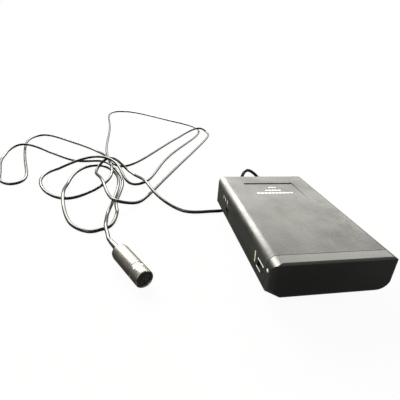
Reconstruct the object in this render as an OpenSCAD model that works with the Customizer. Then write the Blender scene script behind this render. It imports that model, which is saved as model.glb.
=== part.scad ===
/* [Case] */
// Width across the case
body_w = 66; // [60:1:80]
// Length from the battery cap to the cord end
body_l = 107; // [104:1:125]
// Thickness of the closed case
body_h = 22; // [22:0.5:28]
// Wall of both shells and of the cap
wall = 2; // [1.6:0.1:2.2]
// Height of the parting line above the back face
split_h = 7.5; // [7:0.25:8.5]
// Radius along the long edges of the front face
front_r = 4.7; // [3.5:0.1:6]
// Radius round the back face
back_r = 5; // [4:0.1:6]
// Radius of the four upright corners
corner_r = 3; // [2.5:0.1:5]
// Radius across the two low corners of the battery end
low_corner_r = 11; // [9:0.5:12]
// Radius across the two ends of the front face
end_r = 1.2; // [0.8:0.1:2]
// Depth of the fine step along the parting line
reveal = 0.35; // [0.2:0.05:0.5]

/* [Front recess] */
// Width of the sloping recess in the front face
recess_w = 36; // [24:1:44]
// Length of the recess
recess_l = 27; // [15:1:32]
// Depth at its far side, from where it rises to nothing
recess_d = 0.5; // [0.4:0.1:1.4]
// Distance from its far side to the cord end
recess_gap = 13.5; // [10:0.5:18]

/* [Battery cap] */
// Length of case that the cap covers
cap_l = 7.2; // [6:0.2:10]
// Seam between the cap and the shells
cap_seam = 0.3; // [0.3:0.05:0.5]
// Length of the two tongues that guide the cap
tongue_l = 15; // [12:0.5:16]
// Width of a tongue
tongue_w = 4.5; // [4:0.1:5]
// Thickness of a tongue
tongue_t = 1.6; // [1.2:0.1:2]
// Thickness of the foam pad that holds the battery
foam_t = 1.2; // [0.8:0.1:1.5]

/* [Battery] */
// Width of the battery
battery_w = 26.5; // [25.5:0.25:26.5]
// Thickness of the battery
battery_h = 17.5; // [16.5:0.25:17.5]
// Length of the battery without its snaps
battery_l = 46.5; // [44:0.5:46.5]
// Height of the snaps
snap_h = 2; // [1.6:0.1:2.5]
// Distance between the snap centres
snap_pitch = 12.7; // [12:0.1:13]
// Wall of the battery tray
tray_t = 1.2; // [1:0.1:1.6]

/* [Belt clip] */
// Depth of the clip below the back face
clip_drop = 4.5; // [4.5:0.25:7]
// Width of the clip
clip_w = 20; // [16:1:24]
// Length from the pivot to the free end
clip_l = 61; // [45:1:66]
// Thickness of the clip's plate
clip_t = 1.2; // [1:0.1:1.5]
// Radius of the rolled ends
clip_roll_r = 2; // [1.9:0.05:2.1]
// Radius of the pivot pin
pin_r = 0.8; // [0.6:0.05:1]
// Distance from the pivot to the cord end
pivot_gap = 19.5; // [17:0.5:25]

/* [Slide switch] */
// Distance from the switch's centre to the cap end
switch_gap = 13.5; // [13:0.5:15]
// Height of the switch's centre above the back face
switch_z = 11; // [10.8:0.2:12]
// Length of the opening
switch_slot_l = 8; // [7:0.2:9]
// Height of the opening
switch_slot_h = 4; // [3.6:0.2:4.8]
// Travel of the slider
switch_travel = 3.2; // [2:0.2:3.6]

/* [Side jack] */
// Radius of the socket
jack_r = 1.8; // [1.3:0.05:1.9]
// Distance from the socket to the cord end
jack_gap = 29.6; // [26:0.2:34]
// Height of the socket above the back face
jack_z = 9.6; // [9.6:0.1:11]
// Depth of the socket
jack_depth = 12.5; // [10:0.5:14]

/* [Circuit board] */
// Thickness of the board
board_t = 1.6; // [1:0.1:1.6]
// Height of the board above the inside of the back cover
board_lift = 3; // [2.8:0.1:3.2]
// Radius of the case screws
screw_r = 1.25; // [1:0.05:1.4]
// Length of the case screws
screw_l = 15; // [12:0.5:16]

/* [Microphone] */
// Diameter of the barrel
mic_d = 10; // [9.4:0.1:10]
// Length of the barrel with its front collar
mic_l = 27; // [22:1:32]
// Length of the shoulder behind the barrel
mic_neck_l = 4; // [3:0.5:6]
// Length of the front collar
collar_l = 9; // [7:0.5:10]
// Wall of the barrel and the collar
mic_wall = 0.8; // [0.7:0.05:1]
// Length of the strain relief
mic_relief_l = 10; // [8:1:18]
// Direction that the barrel points, turned from the end of the case
mic_turn = 26.565; // [26.5:0.005:26.6]

/* [Cord] */
// Diameter of the cord
cord_d = 2.4; // [2:0.1:2.4]
// Length of the boot outside the case
boot_l = 7.5; // [7.5:0.1:7.6]
// Distance of the boot from the middle of the case
boot_x = 9; // [8.9:0.1:9.1]

/* [Hidden] */

$fn = 48;
eps = 0.01;
slack = 0.1; // room between pieces that stay still
run = 0.3; // room between pieces that move
fit = 0.05; // radial room round a pin
reach = 200; // longer than any cut
corner_room = 0.6; // keeps the low corners' rounding clear of the upright corners' own

// Heights, measured from the surface that the clip rests on
back_z = clip_drop;
floor_z = back_z + wall;
split_z = back_z + split_h;
top_z = back_z + body_h;
roof_z = top_z - wall;
board_z = floor_z + board_lift;
board_top = board_z + board_t;
near_y = -body_l / 2;
far_y = body_l / 2;
side_x = body_w / 2;
seam_y = near_y + cap_l;

// The board and its screws
board_x = side_x - wall - 0.8;
board_far = far_y - wall - 1.7;
board_near = near_y + 10;
screw_pos = [
    [-(battery_w / 2 + 4.6), near_y + 13.5],
    [battery_w / 2 + 4.6, near_y + 13.5],
    [-(side_x - 6.5), far_y - 8],
    [side_x - 6.5, far_y - 8]
];
boss_r = 3;
screw_head_r = 2.5;
screw_head_h = 1.5;

// The battery and its tray
battery_y = near_y + wall + foam_t + run;
battery_end = battery_y + battery_l;
battery_z = floor_z + (body_h - 2 * wall - battery_h) / 2;
tray_x = battery_w / 2 + run;
contact_t = 1.3;
tray_end = battery_end + snap_h + contact_t;
snap_z = battery_z + battery_h / 2;
board_edge = tray_end + tray_t + 1;

foam_edge = 2;

// The clip's pivot
pivot_y = far_y - pivot_gap;
pivot_z = clip_roll_r + 0.2;
ear_t = 1.2;
ear_gap = 0.4;
bracket_x = clip_w / 2 + ear_gap + ear_t;
bracket_l = 13;
bracket_t = 0.8;
clip_screw_x = 7;
clip_screw_y = pivot_y - 6;
clip_screw_r = 0.9;
spring_x = 3.2;

// The switch
switch_y = near_y + switch_gap;
switch_cz = back_z + switch_z;
bezel_t = 0.9;
slider_l = 4;
slider_h = 2.6;
slider_base = 1.2;
switch_deep = 5.5;
slider_y = switch_y - switch_travel / 2;

// The side jack
jack_y = far_y - jack_gap;
jack_cz = back_z + jack_z;
jack_wall = 0.5;
jack_body_l = 10.5;
jack_body_w = 7;
jack_body_h = 6.4;

// The cord boot, on the parting line
boot_z = split_z;
boot_r = 3.2;
boot_neck_r = 2.6;
boot_tip_r = 1.8;
boot_flange_r = 3.1;
boot_flange_t = 1.2;
boot_in = far_y - wall - slack - boot_flange_t;

// The cord's three cores, from the boot to the board
lead_pitch = 1.2;
lead_r = 0.45;
lead_up = 1;
lead_out = 1.5;

// The cord runs through these points, from the microphone to the boot
CORD_ROUTE = [
    [-107.2, 5.4, 5], [-108.5, 8, 5], [-109.6, 14.1, 5], [-111.2, 22.1, 4.8],
    [-111.7, 31.4, 3.9], [-111.7, 49.3, 1.2], [-108.6, 63.2, 3.9], [-106, 97, 4.5],
    [-113, 133, 1.2], [-127, 147, 1.2], [-142, 134, 1.2], [-147, 103, 1.2], [-145, 71, 5],
    [-135, 36, 1.2], [-121.3, 24, 1.2], [-114.9, 26.1, 1.2], [-109.7, 29.5, 1.2],
    [-106.4, 40, 1.2], [-105.7, 53.6, 1.2], [-106.7, 66.8, 1.2], [-103, 103, 1.2],
    [-111, 138, 1.2], [-125, 160, 1.2], [-147, 160, 1.2], [-178, 187, 1.2], [-208, 201, 5],
    [-217, 171, 1.2], [-207, 131, 1.2], [-200, 110, 1.2], [-190, 103, 1.2], [-183, 112, 1.2],
    [-187, 135, 1.2], [-196, 165, 1.2], [-209, 221, 1.2], [-206, 247, 1.2], [-194, 254, 1.2],
    [-165, 229, 1.2], [-132, 192, 1.2], [-117, 153, 5], [-113, 113, 4], [-125, 89, 1.2],
    [-142, 74, 1.2], [-160, 86, 1.2], [-170, 114, 1.2], [-161, 138, 1.2], [-133, 150, 8.5],
    [-109, 132, 8.5], [-98, 103, 2], [-82, 108, 1.2], [-59, 170, 1.2], [-17, 252, 1.2],
    [-4, 309, 1.2], [-41, 357, 1.2], [-96, 411, 1.2], [-128, 398, 1.2], [-125, 306, 1.2],
    [-122, 193, 1.2], [-108, 146, 1.2], [-86, 164, 1.2], [-36, 255, 1.2], [-3, 291, 5],
    [7, 284, 1.2], [1, 254, 1.2], [-34, 179, 1.2], [-62, 121, 1.2], [-75.6, 91.8, 1.2],
    [-87.6, 68.1, 1.2], [-96.2, 59.9, 3.2], [-105.4, 55.5, 7.2], [-113.1, 71.5, 6.2],
    [-121, 105, 5.5], [-127, 135, 1.2], [-115, 148, 8.5], [-98, 132, 1.2], [-85, 100, 5],
    [-76, 72, 4], [-58, 49, 1.2], [-41, 47, 1.2], [-29, 48, 1.2], [-20, 54, 1.2],
    [-12, 61, 3.5], [-10, 66, 10], [-10, 68, 16.5], [-9, 69, 22], [-5.2, 70, 24.9],
    [1.6, 70.5, 21.2], [6.6, 70, 15.5], [9, 66.5, 12], [9, 61, 12]
];
cord_sides = 8;
cord_bend = 30; // a stretch that turns more than this gets a ring in its middle

// ---------------------------------------------------------------- shapes

// A rectangle from p to q whose corners have radius low at the bottom and high at the top
module rounded_rect(p, q, low, high) {
    translate([p[0], p[1] + low]) square([q[0] - p[0], q[1] - p[1] - low - high]);
    translate([p[0] + low, p[1]]) square([q[0] - p[0] - 2 * low, low + eps]);
    translate([p[0] + high, q[1] - high - eps]) square([q[0] - p[0] - 2 * high, high + eps]);
    for (x = [p[0] + low, q[0] - low]) translate([x, p[1] + low]) circle(low);
    for (x = [p[0] + high, q[0] - high]) translate([x, q[1] - high]) circle(high);
}

// The outer form of the case, or with inset the space inside a wall of that thickness, whose
// corners round the back are a little sharper than the wall alone would make them
module envelope(inset = 0) {
    x = side_x - inset;
    y = far_y - inset;
    low = back_z + inset;
    high = top_z - inset;
    low_r = back_r - 1.5 * inset;
    intersection() {
        rotate([90, 0, 0])
            linear_extrude(reach, center = true)
                rounded_rect([-x, low], [x, high], low_r, front_r - inset);
        rotate([90, 0, 90])
            linear_extrude(reach, center = true)
                rounded_rect([-y, low], [y, high], low_r, max(end_r - inset, 0.3));
        linear_extrude(reach)
            rounded_rect([-x, -y], [x, y], max(corner_r - inset, 0.5), max(corner_r - inset, 0.5));
    }
}

// The space inside the rounding of one low corner, which runs across the case's diagonal
module low_corner(turn) {
    far = (side_x + far_y) / sqrt(2) - corner_r * (sqrt(2) - 1) + corner_room;
    rotate([90, 0, turn])
        linear_extrude(2 * reach, center = true)
            rounded_rect([-reach, back_z], [far, top_z + wall], low_corner_r, eps);
}

// The space inside both low corners of the battery end
module low_corners() {
    intersection() {
        low_corner(-45);
        low_corner(-135);
    }
}

module slab_y(from, to) {
    translate([-reach / 2, from, -reach / 2]) cube([reach, to - from, reach]);
}

module slab_z(from, to) {
    translate([-reach / 2, -reach / 2, from]) cube([reach, reach, to - from]);
}

// A cylinder from p along +X, +Y or +Z
module rod_x(p, l, r) {
    translate(p) rotate([0, 90, 0]) cylinder(h = l, r = r);
}

module rod_y(p, l, r) {
    translate(p) rotate([-90, 0, 0]) cylinder(h = l, r = r);
}

module rod_z(p, l, r) {
    translate(p) cylinder(h = l, r = r);
}

// A box given by its lowest and highest corners
module block(p, q) {
    translate(p) cube(q - p);
}

// A wire that goes straight from point to point
module wire(points, r) {
    for (i = [0:len(points) - 2]) {
        step = points[i + 1] - points[i];
        flat = norm([step[0], step[1]]);
        translate(points[i])
            rotate([0, atan2(flat, step[2]), atan2(step[1], step[0])])
                cylinder(h = norm(step), r = r, $fn = 16);
        if (i > 0) translate(points[i]) sphere(r, $fn = 16);
    }
}

// ---------------------------------------------------------------- case

module switch_window(room) {
    l = switch_slot_l / 2 + bezel_t + room;
    h = switch_slot_h / 2 + bezel_t + room;
    block([-side_x - 1, switch_y - l, switch_cz - h], [-side_x + wall + eps, switch_y + l, switch_cz + h]);
}

module jack_window(room) {
    rod_x([-side_x - 1, jack_y, jack_cz], wall + 1 + eps, jack_r + jack_wall + room);
}

module boot_window(room) {
    rod_y([boot_x, far_y - wall - eps, boot_z], wall + 1, boot_neck_r + room);
}

module front_recess() {
    far = far_y - recess_gap;
    translate([-recess_w / 2, 0, 0])
        rotate([90, 0, 90])
            linear_extrude(recess_w)
                polygon([
                    [far, top_z + 1], [far, top_z - recess_d],
                    [far - recess_l, top_z], [far - recess_l, top_z + 1]
                ]);
}

module front_bosses() {
    for (p = screw_pos)
        difference() {
            rod_z([p[0], p[1], board_top + slack], roof_z - board_top - slack + eps, boss_r);
            rod_z([p[0], p[1], board_top - 1], back_z + screw_l - board_top + 2, screw_r + fit);
        }
}

module front_shell() {
    color([0.17, 0.17, 0.16]) union() {
        difference() {
            intersection() {
                envelope();
                slab_y(seam_y, reach / 2);
                slab_z(split_z, reach);
            }
            envelope(wall);
            front_recess();
            switch_window(slack);
            jack_window(slack);
            boot_window(slack);
        }
        front_bosses();
    }
}

// The underside of the board rests on these, and the two by the battery reach up to the front bosses
module back_bosses() {
    for (p = screw_pos) {
        on_board = p[1] > 0 || p[0] < 0;
        difference() {
            rod_z([p[0], p[1], floor_z - eps], (on_board ? board_z : board_top) - floor_z + eps, boss_r);
            rod_z([p[0], p[1], back_z], reach, screw_r + slack);
        }
    }
    for (x = [-clip_screw_x, clip_screw_x])
        difference() {
            rod_z([x, clip_screw_y, floor_z - eps], board_lift - 0.5, clip_screw_r + 1.2);
            rod_z([x, clip_screw_y, back_z], reach, clip_screw_r + fit);
        }
}

module back_cover() {
    color([0.13, 0.13, 0.13]) union() {
        difference() {
            intersection() {
                envelope();
                low_corners();
                slab_y(seam_y, reach / 2);
                slab_z(0, split_z);
            }
            envelope(wall);
            difference() {
                slab_z(split_z - reveal, split_z + 1);
                envelope(reveal);
            }
            jack_window(slack);
            boot_window(slack);
            block(
                [-bracket_x - slack, pivot_y - bracket_l + 4 - slack, back_z - 1],
                [bracket_x + slack, pivot_y + 4 + slack, back_z + bracket_t]
            );
            for (p = screw_pos) {
                rod_z([p[0], p[1], 0], floor_z, screw_r + slack);
                translate([p[0], p[1], back_z - eps])
                    cylinder(h = screw_head_h + slack, r1 = screw_head_r + slack, r2 = screw_r + slack);
            }
            for (x = [-clip_screw_x, clip_screw_x])
                rod_z([x, clip_screw_y, 0], floor_z, clip_screw_r + fit);
        }
        back_bosses();
    }
}

// A countersunk screw with a cross recess, its head level with z = 0 and its shaft upwards
module screw(r, l, head_r, head_h) {
    difference() {
        union() {
            cylinder(h = head_h, r1 = head_r, r2 = r);
            cylinder(h = l, r = r);
        }
        for (a = [0, 90])
            rotate([0, 0, a]) translate([-head_r * 0.6, -head_r * 0.12, -eps])
                cube([head_r * 1.2, head_r * 0.24, head_h * 0.6]);
    }
}

module case_screws() {
    color([0.55, 0.55, 0.53])
        for (p = screw_pos)
            translate([p[0], p[1], back_z]) screw(screw_r, screw_l, screw_head_r, screw_head_h);
}

// ---------------------------------------------------------------- battery cap

tongue_in = 2.5; // from the end wall to where the tongues grow out of the low corners

module battery_cap() {
    edge = seam_y - cap_seam;
    tongue_x = side_x - wall - (back_r - 1.5 * wall) - slack - tongue_w;
    flat_corner = (side_x + far_y) / sqrt(2) - low_corner_r + wall;
    color([0.16, 0.16, 0.16]) union() {
        difference() {
            intersection() {
                envelope();
                low_corners();
                slab_y(-reach / 2, edge);
            }
            intersection() {
                envelope(wall);
                rotate([0, 0, -45]) block([-reach, -flat_corner, 0], [flat_corner, reach, reach]);
            }
        }
        for (x = [-tongue_x - tongue_w, tongue_x]) {
            block(
                [x, near_y + wall + tongue_in, floor_z + run],
                [x + tongue_w, near_y + wall + tongue_l, floor_z + run + tongue_t]
            );
            block(
                [x, near_y + wall + tongue_in, floor_z - eps],
                [x + tongue_w, edge - run, floor_z + run + eps]
            );
        }
    }
}

module cap_foam() {
    color([0.3, 0.3, 0.32])
        block(
            [-battery_w / 2 + foam_edge, near_y + wall, floor_z + back_r - 1.5 * wall],
            [battery_w / 2 - foam_edge, near_y + wall + foam_t, battery_z + battery_h - foam_edge]
        );
}

// ---------------------------------------------------------------- battery

module battery_tray() {
    outer = tray_x + tray_t;
    near = seam_y + 1.5;
    color([0.2, 0.2, 0.2])
        difference() {
            block([-outer, near, floor_z], [outer, tray_end + tray_t, roof_z - slack]);
            block([-tray_x, near - 1, floor_z - 1], [tray_x, tray_end, roof_z + 1]);
        }
}

module battery() {
    color([0.12, 0.2, 0.35])
        translate([0, battery_end, 0])
            rotate([90, 0, 0])
                linear_extrude(battery_l)
                    rounded_rect(
                        [-battery_w / 2, battery_z], [battery_w / 2, battery_z + battery_h], 1.5, 1.5
                    );
}

module battery_snaps() {
    color([0.75, 0.72, 0.62]) {
        rod_y([-snap_pitch / 2, battery_end, snap_z], snap_h, 2.9);
        translate([snap_pitch / 2, battery_end, snap_z])
            rotate([-90, 0, 0]) cylinder(h = snap_h, r = 4.3, $fn = 6);
    }
}

module battery_contacts() {
    color([0.8, 0.68, 0.35])
        for (x = [-snap_pitch / 2, snap_pitch / 2])
            difference() {
                rod_y([x, battery_end + snap_h, snap_z], contact_t, 4.6);
                rod_y([x, battery_end + snap_h - 1, snap_z], 1.5, 2);
            }
}

module power_leads() {
    color([0.6, 0.1, 0.08])
        for (side = [-1, 1]) {
            x = side * snap_pitch / 2;
            wire(
                [
                    [x, tray_end + tray_t, roof_z - 2.2],
                    [x, board_edge + 2, roof_z - 2.2],
                    [x, board_edge + 2, board_top]
                ],
                0.6
            );
        }
}

// ---------------------------------------------------------------- switch and jack

module switch_bezel() {
    color([0.14, 0.14, 0.14])
        difference() {
            intersection() {
                switch_window(0);
                envelope();
            }
            block(
                [-side_x - 2, switch_y - switch_slot_l / 2, switch_cz - switch_slot_h / 2],
                [-side_x + wall + 2, switch_y + switch_slot_l / 2, switch_cz + switch_slot_h / 2]
            );
        }
}

module switch_body() {
    x = -side_x + wall + 0.2;
    l = switch_slot_l / 2 + 1;
    color([0.62, 0.62, 0.6])
        difference() {
            block([x, switch_y - l, board_top], [x + switch_deep, switch_y + l, switch_cz + 3.2]);
            block(
                [x - 1, switch_y - l + 0.6, switch_cz - slider_h / 2 - 0.7],
                [x + slider_base + 2 * run, switch_y + l - 0.6, switch_cz + slider_h / 2 + 0.7]
            );
        }
}

module switch_slider() {
    x = -side_x + wall + 0.2 + run;
    color([0.08, 0.08, 0.08]) {
        difference() {
            block(
                [-side_x, slider_y - slider_l / 2, switch_cz - slider_h / 2],
                [x + slider_base, slider_y + slider_l / 2, switch_cz + slider_h / 2]
            );
            for (i = [-1.5:1:1.5])
                block(
                    [-side_x - 1, slider_y + i - 0.2, switch_cz - slider_h],
                    [-side_x + 0.5, slider_y + i + 0.2, switch_cz + slider_h]
                );
        }
    }
}

module side_jack() {
    body_x = -side_x + wall + 0.1;
    color([0.1, 0.1, 0.1])
        difference() {
            union() {
                rod_x([-side_x, jack_y, jack_cz], wall + 1, jack_r + jack_wall);
                block(
                    [body_x, jack_y - jack_body_w / 2, board_top],
                    [-side_x + jack_depth + 1, jack_y + jack_body_w / 2, board_top + jack_body_h]
                );
            }
            rod_x([-side_x - 1, jack_y, jack_cz], jack_depth + 1, jack_r);
        }
}

// ---------------------------------------------------------------- circuit board

module main_board() {
    inner = tray_x + tray_t + 0.5;
    color([0.15, 0.35, 0.2])
        difference() {
            translate([0, 0, board_z])
                linear_extrude(board_t)
                    polygon([
                        [-board_x, board_near], [-inner, board_near], [-inner, board_edge],
                        [board_x, board_edge], [board_x, board_far], [-board_x, board_far]
                    ]);
            for (p = screw_pos)
                rod_z([p[0], p[1], board_z - 1], board_t + 2, screw_r + slack);
        }
}

// A box that stands on the board, centred at p
module on_board(p, size) {
    translate([p[0] - size[0] / 2, p[1] - size[1] / 2, board_top]) cube(size);
}

part_gap = 0.5; // least room between parts that stand beside each other

shield_size = [24, 18, 8];
shield_pos = [board_x - 2.2 - shield_size[0] / 2, board_edge + 3 + shield_size[1] / 2];

module rf_shield() {
    color([0.7, 0.71, 0.7])
        difference() {
            on_board(shield_pos, shield_size);
            translate([0, 0, -0.4]) on_board(shield_pos, shield_size - [0.8, 0.8, 0]);
            for (x = [-8:4:8])
                rod_z([shield_pos[0] + x, shield_pos[1] + 5, board_top], reach, 0.8);
        }
}

crystal_pos = [board_x - 8.2, shield_pos[1] + shield_size[1] / 2 + 3.5];

module crystal() {
    color([0.72, 0.72, 0.7])
        translate([crystal_pos[0], crystal_pos[1], board_top]) {
            linear_extrude(0.5) rounded_rect([-5.6, -2.5], [5.6, 2.5], 2.4, 2.4);
            linear_extrude(3.6) rounded_rect([-5.1, -2], [5.1, 2], 1.9, 1.9);
        }
}

// The chips stand beside the shield, the cans beside the chips and the discs beside the cans
chip_size = [9, 6, 2.6];
chip_x = shield_pos[0] - shield_size[0] / 2 - part_gap - chip_size[0] / 2;

can_size = [7, 7, 9];
can_pitch = 9;
can_pos = [
    for (i = [0:2])
        [chip_x - chip_size[0] / 2 - 2 * part_gap - can_size[0] / 2, board_edge + 8 + i * can_pitch]
];

module tuning_cans() {
    color([0.74, 0.74, 0.72])
        for (p = can_pos)
            difference() {
                on_board(p, can_size);
                rod_z([p[0], p[1], board_top + 1], reach, 1.8);
            }
}

module tuning_cores() {
    color([0.35, 0.16, 0.1])
        for (p = can_pos)
            difference() {
                rod_z([p[0], p[1], board_top + 1], can_size[2] - 1.5, 1.8 - fit);
                translate([p[0] - 1.2, p[1] - 0.2, board_top + can_size[2] - 1.3]) cube([2.4, 0.4, 2]);
            }
}

trimmer_pos = [for (i = [0:1]) [-board_x + 6, board_near + 20 + i * 10]];

module level_trimmers() {
    color([0.2, 0.32, 0.55])
        for (p = trimmer_pos)
            difference() {
                union() {
                    on_board(p, [6.5, 6.5, 3]);
                    rod_z([p[0], p[1], board_top + 3 - eps], 0.8, 2.2);
                }
                translate([p[0] - 1.8, p[1] - 0.3, board_top + 3.3]) cube([3.6, 0.6, 1]);
            }
}

// Each capacitor's place, its radius and its height: three by the switch, two by the cord
near_row_x = 4.2;
near_row_y = 3.5;
far_row_y = 16;
can_capacitors = [
    [-board_x + near_row_x + 5, board_edge - near_row_y - 5.5, 2.5, 7],
    [-board_x + near_row_x, board_edge - near_row_y, 2, 5.5],
    [-board_x + near_row_x + 2, board_edge + near_row_y + 1, 2.5, 8],
    [shield_pos[0] - shield_size[0] / 2 - 2, far_y - far_row_y + 1.5, 3.2, 9],
    [-board_x + near_row_x + 6, far_y - far_row_y - 1.5, 2.5, 7]
];

module electrolytics() {
    color([0.1, 0.12, 0.2])
        for (c = can_capacitors) {
            p = [c[0], c[1], board_top];
            difference() {
                rod_z(p, c[3], c[2]);
                for (a = [0, 90])
                    translate([p[0], p[1], board_top + c[3]])
                        rotate([0, 0, a]) cube([c[2] * 1.4, 0.3, 0.4], center = true);
            }
        }
}

// A chip with legs on two sides, centred at p
module chip(p, legs) {
    l = chip_size[0];
    pitch = l / legs;
    leg = 0.6;
    translate([0, 0, leg]) on_board(p, chip_size);
    for (i = [0:legs - 1])
        for (side = [-1, 1])
            on_board(
                [p[0] - l / 2 + pitch * (i + 0.5), p[1] + side * (chip_size[1] + leg) / 2],
                [leg, leg, 2]
            );
}

module integrated_circuits() {
    color([0.06, 0.06, 0.07]) {
        chip([chip_x, board_edge + 6.5], 7);
        chip([chip_x, board_edge + 16], 7);
    }
}

resistor_r = 0.9;
resistor_l = 4.4;
resistor_pitch = 2.3;

module resistors() {
    color([0.78, 0.68, 0.5])
        for (i = [0:4])
            rod_x(
                [shield_pos[0] - 7, far_y - 8 - i * resistor_pitch, board_top + resistor_r],
                resistor_l, resistor_r
            );
}

disc_r = 2.4;
disc_t = 1.4;
disc_pitch = 2.6;

module disc_capacitors() {
    x = can_pos[0][0] - can_size[0] / 2 - part_gap - disc_r;
    color([0.75, 0.5, 0.2])
        for (i = [0:3])
            rod_y([x, board_edge + 8 + i * disc_pitch, board_top + disc_r], disc_t, disc_r);
}

// ---------------------------------------------------------------- belt clip

module clip_bracket() {
    color([0.5, 0.5, 0.5])
        difference() {
            union() {
                block(
                    [-bracket_x, pivot_y - bracket_l + 4, back_z],
                    [bracket_x, pivot_y + 4, back_z + bracket_t]
                );
                for (x = [-bracket_x, bracket_x - ear_t]) {
                    block(
                        [x, pivot_y - clip_roll_r, pivot_z],
                        [x + ear_t, pivot_y + clip_roll_r, back_z + eps]
                    );
                    rod_x([x, pivot_y, pivot_z], ear_t, clip_roll_r);
                }
            }
            rod_x([-reach / 2, pivot_y, pivot_z], reach, pin_r);
            for (x = [-clip_screw_x, clip_screw_x])
                translate([x, clip_screw_y, back_z - eps])
                    cylinder(h = bracket_t + 2 * eps, r1 = 1.9, r2 = clip_screw_r + fit);
        }
}

module clip_screws() {
    color([0.6, 0.6, 0.58])
        for (x = [-clip_screw_x, clip_screw_x])
            translate([x, clip_screw_y, back_z])
                screw(clip_screw_r, wall + board_lift - 0.9, 1.8, bracket_t);
}

module clip_pin() {
    color([0.7, 0.7, 0.68]) rod_x([-bracket_x, pivot_y, pivot_z], 2 * bracket_x, pin_r);
}

// Four turns round the pin, with a leg that presses on the clip
module clip_spring() {
    wire_r = 0.35;
    turn_r = pin_r + wire_r + fit;
    color([0.72, 0.72, 0.7]) {
        for (i = [-1.5:1:1.5])
            translate([i * 0.65, pivot_y, pivot_z])
                rotate([0, 90, 0]) rotate_extrude() translate([turn_r, 0]) circle(wire_r);
        rod_y([0, pivot_y - 8, clip_t + run + wire_r + eps], 8 - pin_r - fit, wire_r);
    }
}

module belt_clip() {
    half = clip_w / 2;
    tip_y = pivot_y - clip_l;
    color([0.14, 0.14, 0.14])
        difference() {
            union() {
                block([-half, tip_y + clip_roll_r, 0], [half, pivot_y, clip_t]);
                rod_x([-half, pivot_y, pivot_z], clip_w, clip_roll_r);
                rod_x([-half, tip_y + clip_roll_r, pivot_z], clip_w, clip_roll_r);
                block([-half, pivot_y - 0.6, 0], [half, pivot_y + 0.6, pivot_z]);
                block([-half, tip_y + clip_roll_r - 0.6, 0], [half, tip_y + clip_roll_r + 0.6, pivot_z]);
            }
            rod_x([-half - 1, pivot_y, pivot_z], clip_w + 2, pin_r + fit);
            block([-spring_x, pivot_y - clip_roll_r - 0.2, -1], [spring_x, reach, reach]);
        }
}

// ---------------------------------------------------------------- cord

module cord_boot() {
    color([0.07, 0.07, 0.07]) {
        rod_y([boot_x, boot_in, boot_z], boot_flange_t, boot_flange_r);
        rod_y([boot_x, boot_in, boot_z], far_y - boot_in + eps, boot_neck_r);
        translate([boot_x, far_y, boot_z])
            rotate([-90, 0, 0]) cylinder(h = boot_l, r1 = boot_r, r2 = boot_tip_r);
    }
}

module cord_leads() {
    color([0.7, 0.7, 0.65])
        for (x = [-lead_pitch, 0, lead_pitch])
            wire(
                [
                    [boot_x + x, boot_in, boot_z + lead_up],
                    [boot_x + x, boot_in - lead_out, boot_z + lead_up],
                    [boot_x + x, boot_in - lead_out, board_top]
                ],
                lead_r
            );
}

function at(i) = CORD_ROUTE[min(max(i, 0), len(CORD_ROUTE) - 1)];

// A smooth curve through the route's points; u counts them
function route(u) =
    let (
        i = min(floor(u), len(CORD_ROUTE) - 2),
        t = u - i,
        p = [
            for (k = [0:2])
                let (a = at(i - 1)[k], b = at(i)[k], c = at(i + 1)[k], d = at(i + 2)[k])
                (2 * b + (c - a) * t + (2 * a - 5 * b + 4 * c - d) * t * t
                    + (3 * b - a - 3 * c + d) * t * t * t) / 2
        ]
    ) [p[0], p[1], max(p[2], cord_d / 2)];

function unit(v) = v / norm(v);
function heading(u) =
    unit(route(min(u + 0.05, len(CORD_ROUTE) - 1)) - route(max(u - 0.05, 0)));
function turns(i) = acos(min(1, unit(at(i + 1) - at(i - 1)) * unit(at(i + 2) - at(i)))) > cord_bend;

ring_at = [
    for (i = [0:len(CORD_ROUTE) - 2]) each turns(i) ? [i, i + 0.5] : [i],
    len(CORD_ROUTE) - 1
];

function ring(u) =
    let (
        t = heading(u),
        side = unit(cross(t, [0, 0, 1])),
        up = cross(side, t),
        r = cord_d / 2,
        c = route(u)
    ) [
        for (k = [0:cord_sides - 1])
            let (a = 360 * (k + 0.5) / cord_sides) c + r * (cos(a) * side + sin(a) * up)
    ];

module mic_cord() {
    rings = len(ring_at);
    n = cord_sides;
    points = [for (u = ring_at) each ring(u)];
    faces = concat(
        [[for (k = [0:n - 1]) k]],
        [
            for (i = [0:rings - 2])
                for (k = [0:n - 1])
                    let (a = i * n + k, b = i * n + (k + 1) % n) [a, a + n, b + n, b]
        ],
        [[for (k = [n - 1:-1:0]) (rings - 1) * n + k]]
    );
    color([0.06, 0.06, 0.06]) polyhedron(points, faces);
}

// ---------------------------------------------------------------- microphone

// Puts the microphone's axis, drawn along +Z with the cord's end at z = 0, on the end of the cord
module on_cord() {
    translate(CORD_ROUTE[0]) rotate([0, 0, mic_turn]) rotate([90, 0, 0]) children();
}

mic_r = mic_d / 2;
mic_front = mic_relief_l + mic_neck_l + mic_l;
relief_tip_r = 1.5;
relief_root_r = 2.1;
grille_t = 0.6;
grille_in = 1; // from the rim to the mesh
capsule_l = 5;
foam_l = 1.5;
collar_step = 0.5; // a fine groove between the barrel and the collar
collar_dip = 0.2;
collar_lip = 0.25; // the lip that the mesh and the capsule stop against
pin_hole_r = 0.75;
pin_from_back = 2.5;
pin_turns = [3:60:303];

module mic_relief() {
    color([0.07, 0.07, 0.07])
        on_cord()
            cylinder(h = mic_relief_l, r1 = relief_tip_r, r2 = relief_root_r);
}

module mic_barrel() {
    back = mic_relief_l + mic_neck_l;
    color([0.2, 0.2, 0.19])
        on_cord()
            difference() {
                union() {
                    translate([0, 0, mic_relief_l])
                        cylinder(h = mic_neck_l, r1 = relief_root_r + 0.6, r2 = mic_r);
                    translate([0, 0, back - eps]) cylinder(h = mic_l - collar_l + eps, r = mic_r);
                }
                translate([0, 0, back + 2]) cylinder(h = mic_l, r = mic_r - mic_wall);
            }
}

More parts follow.
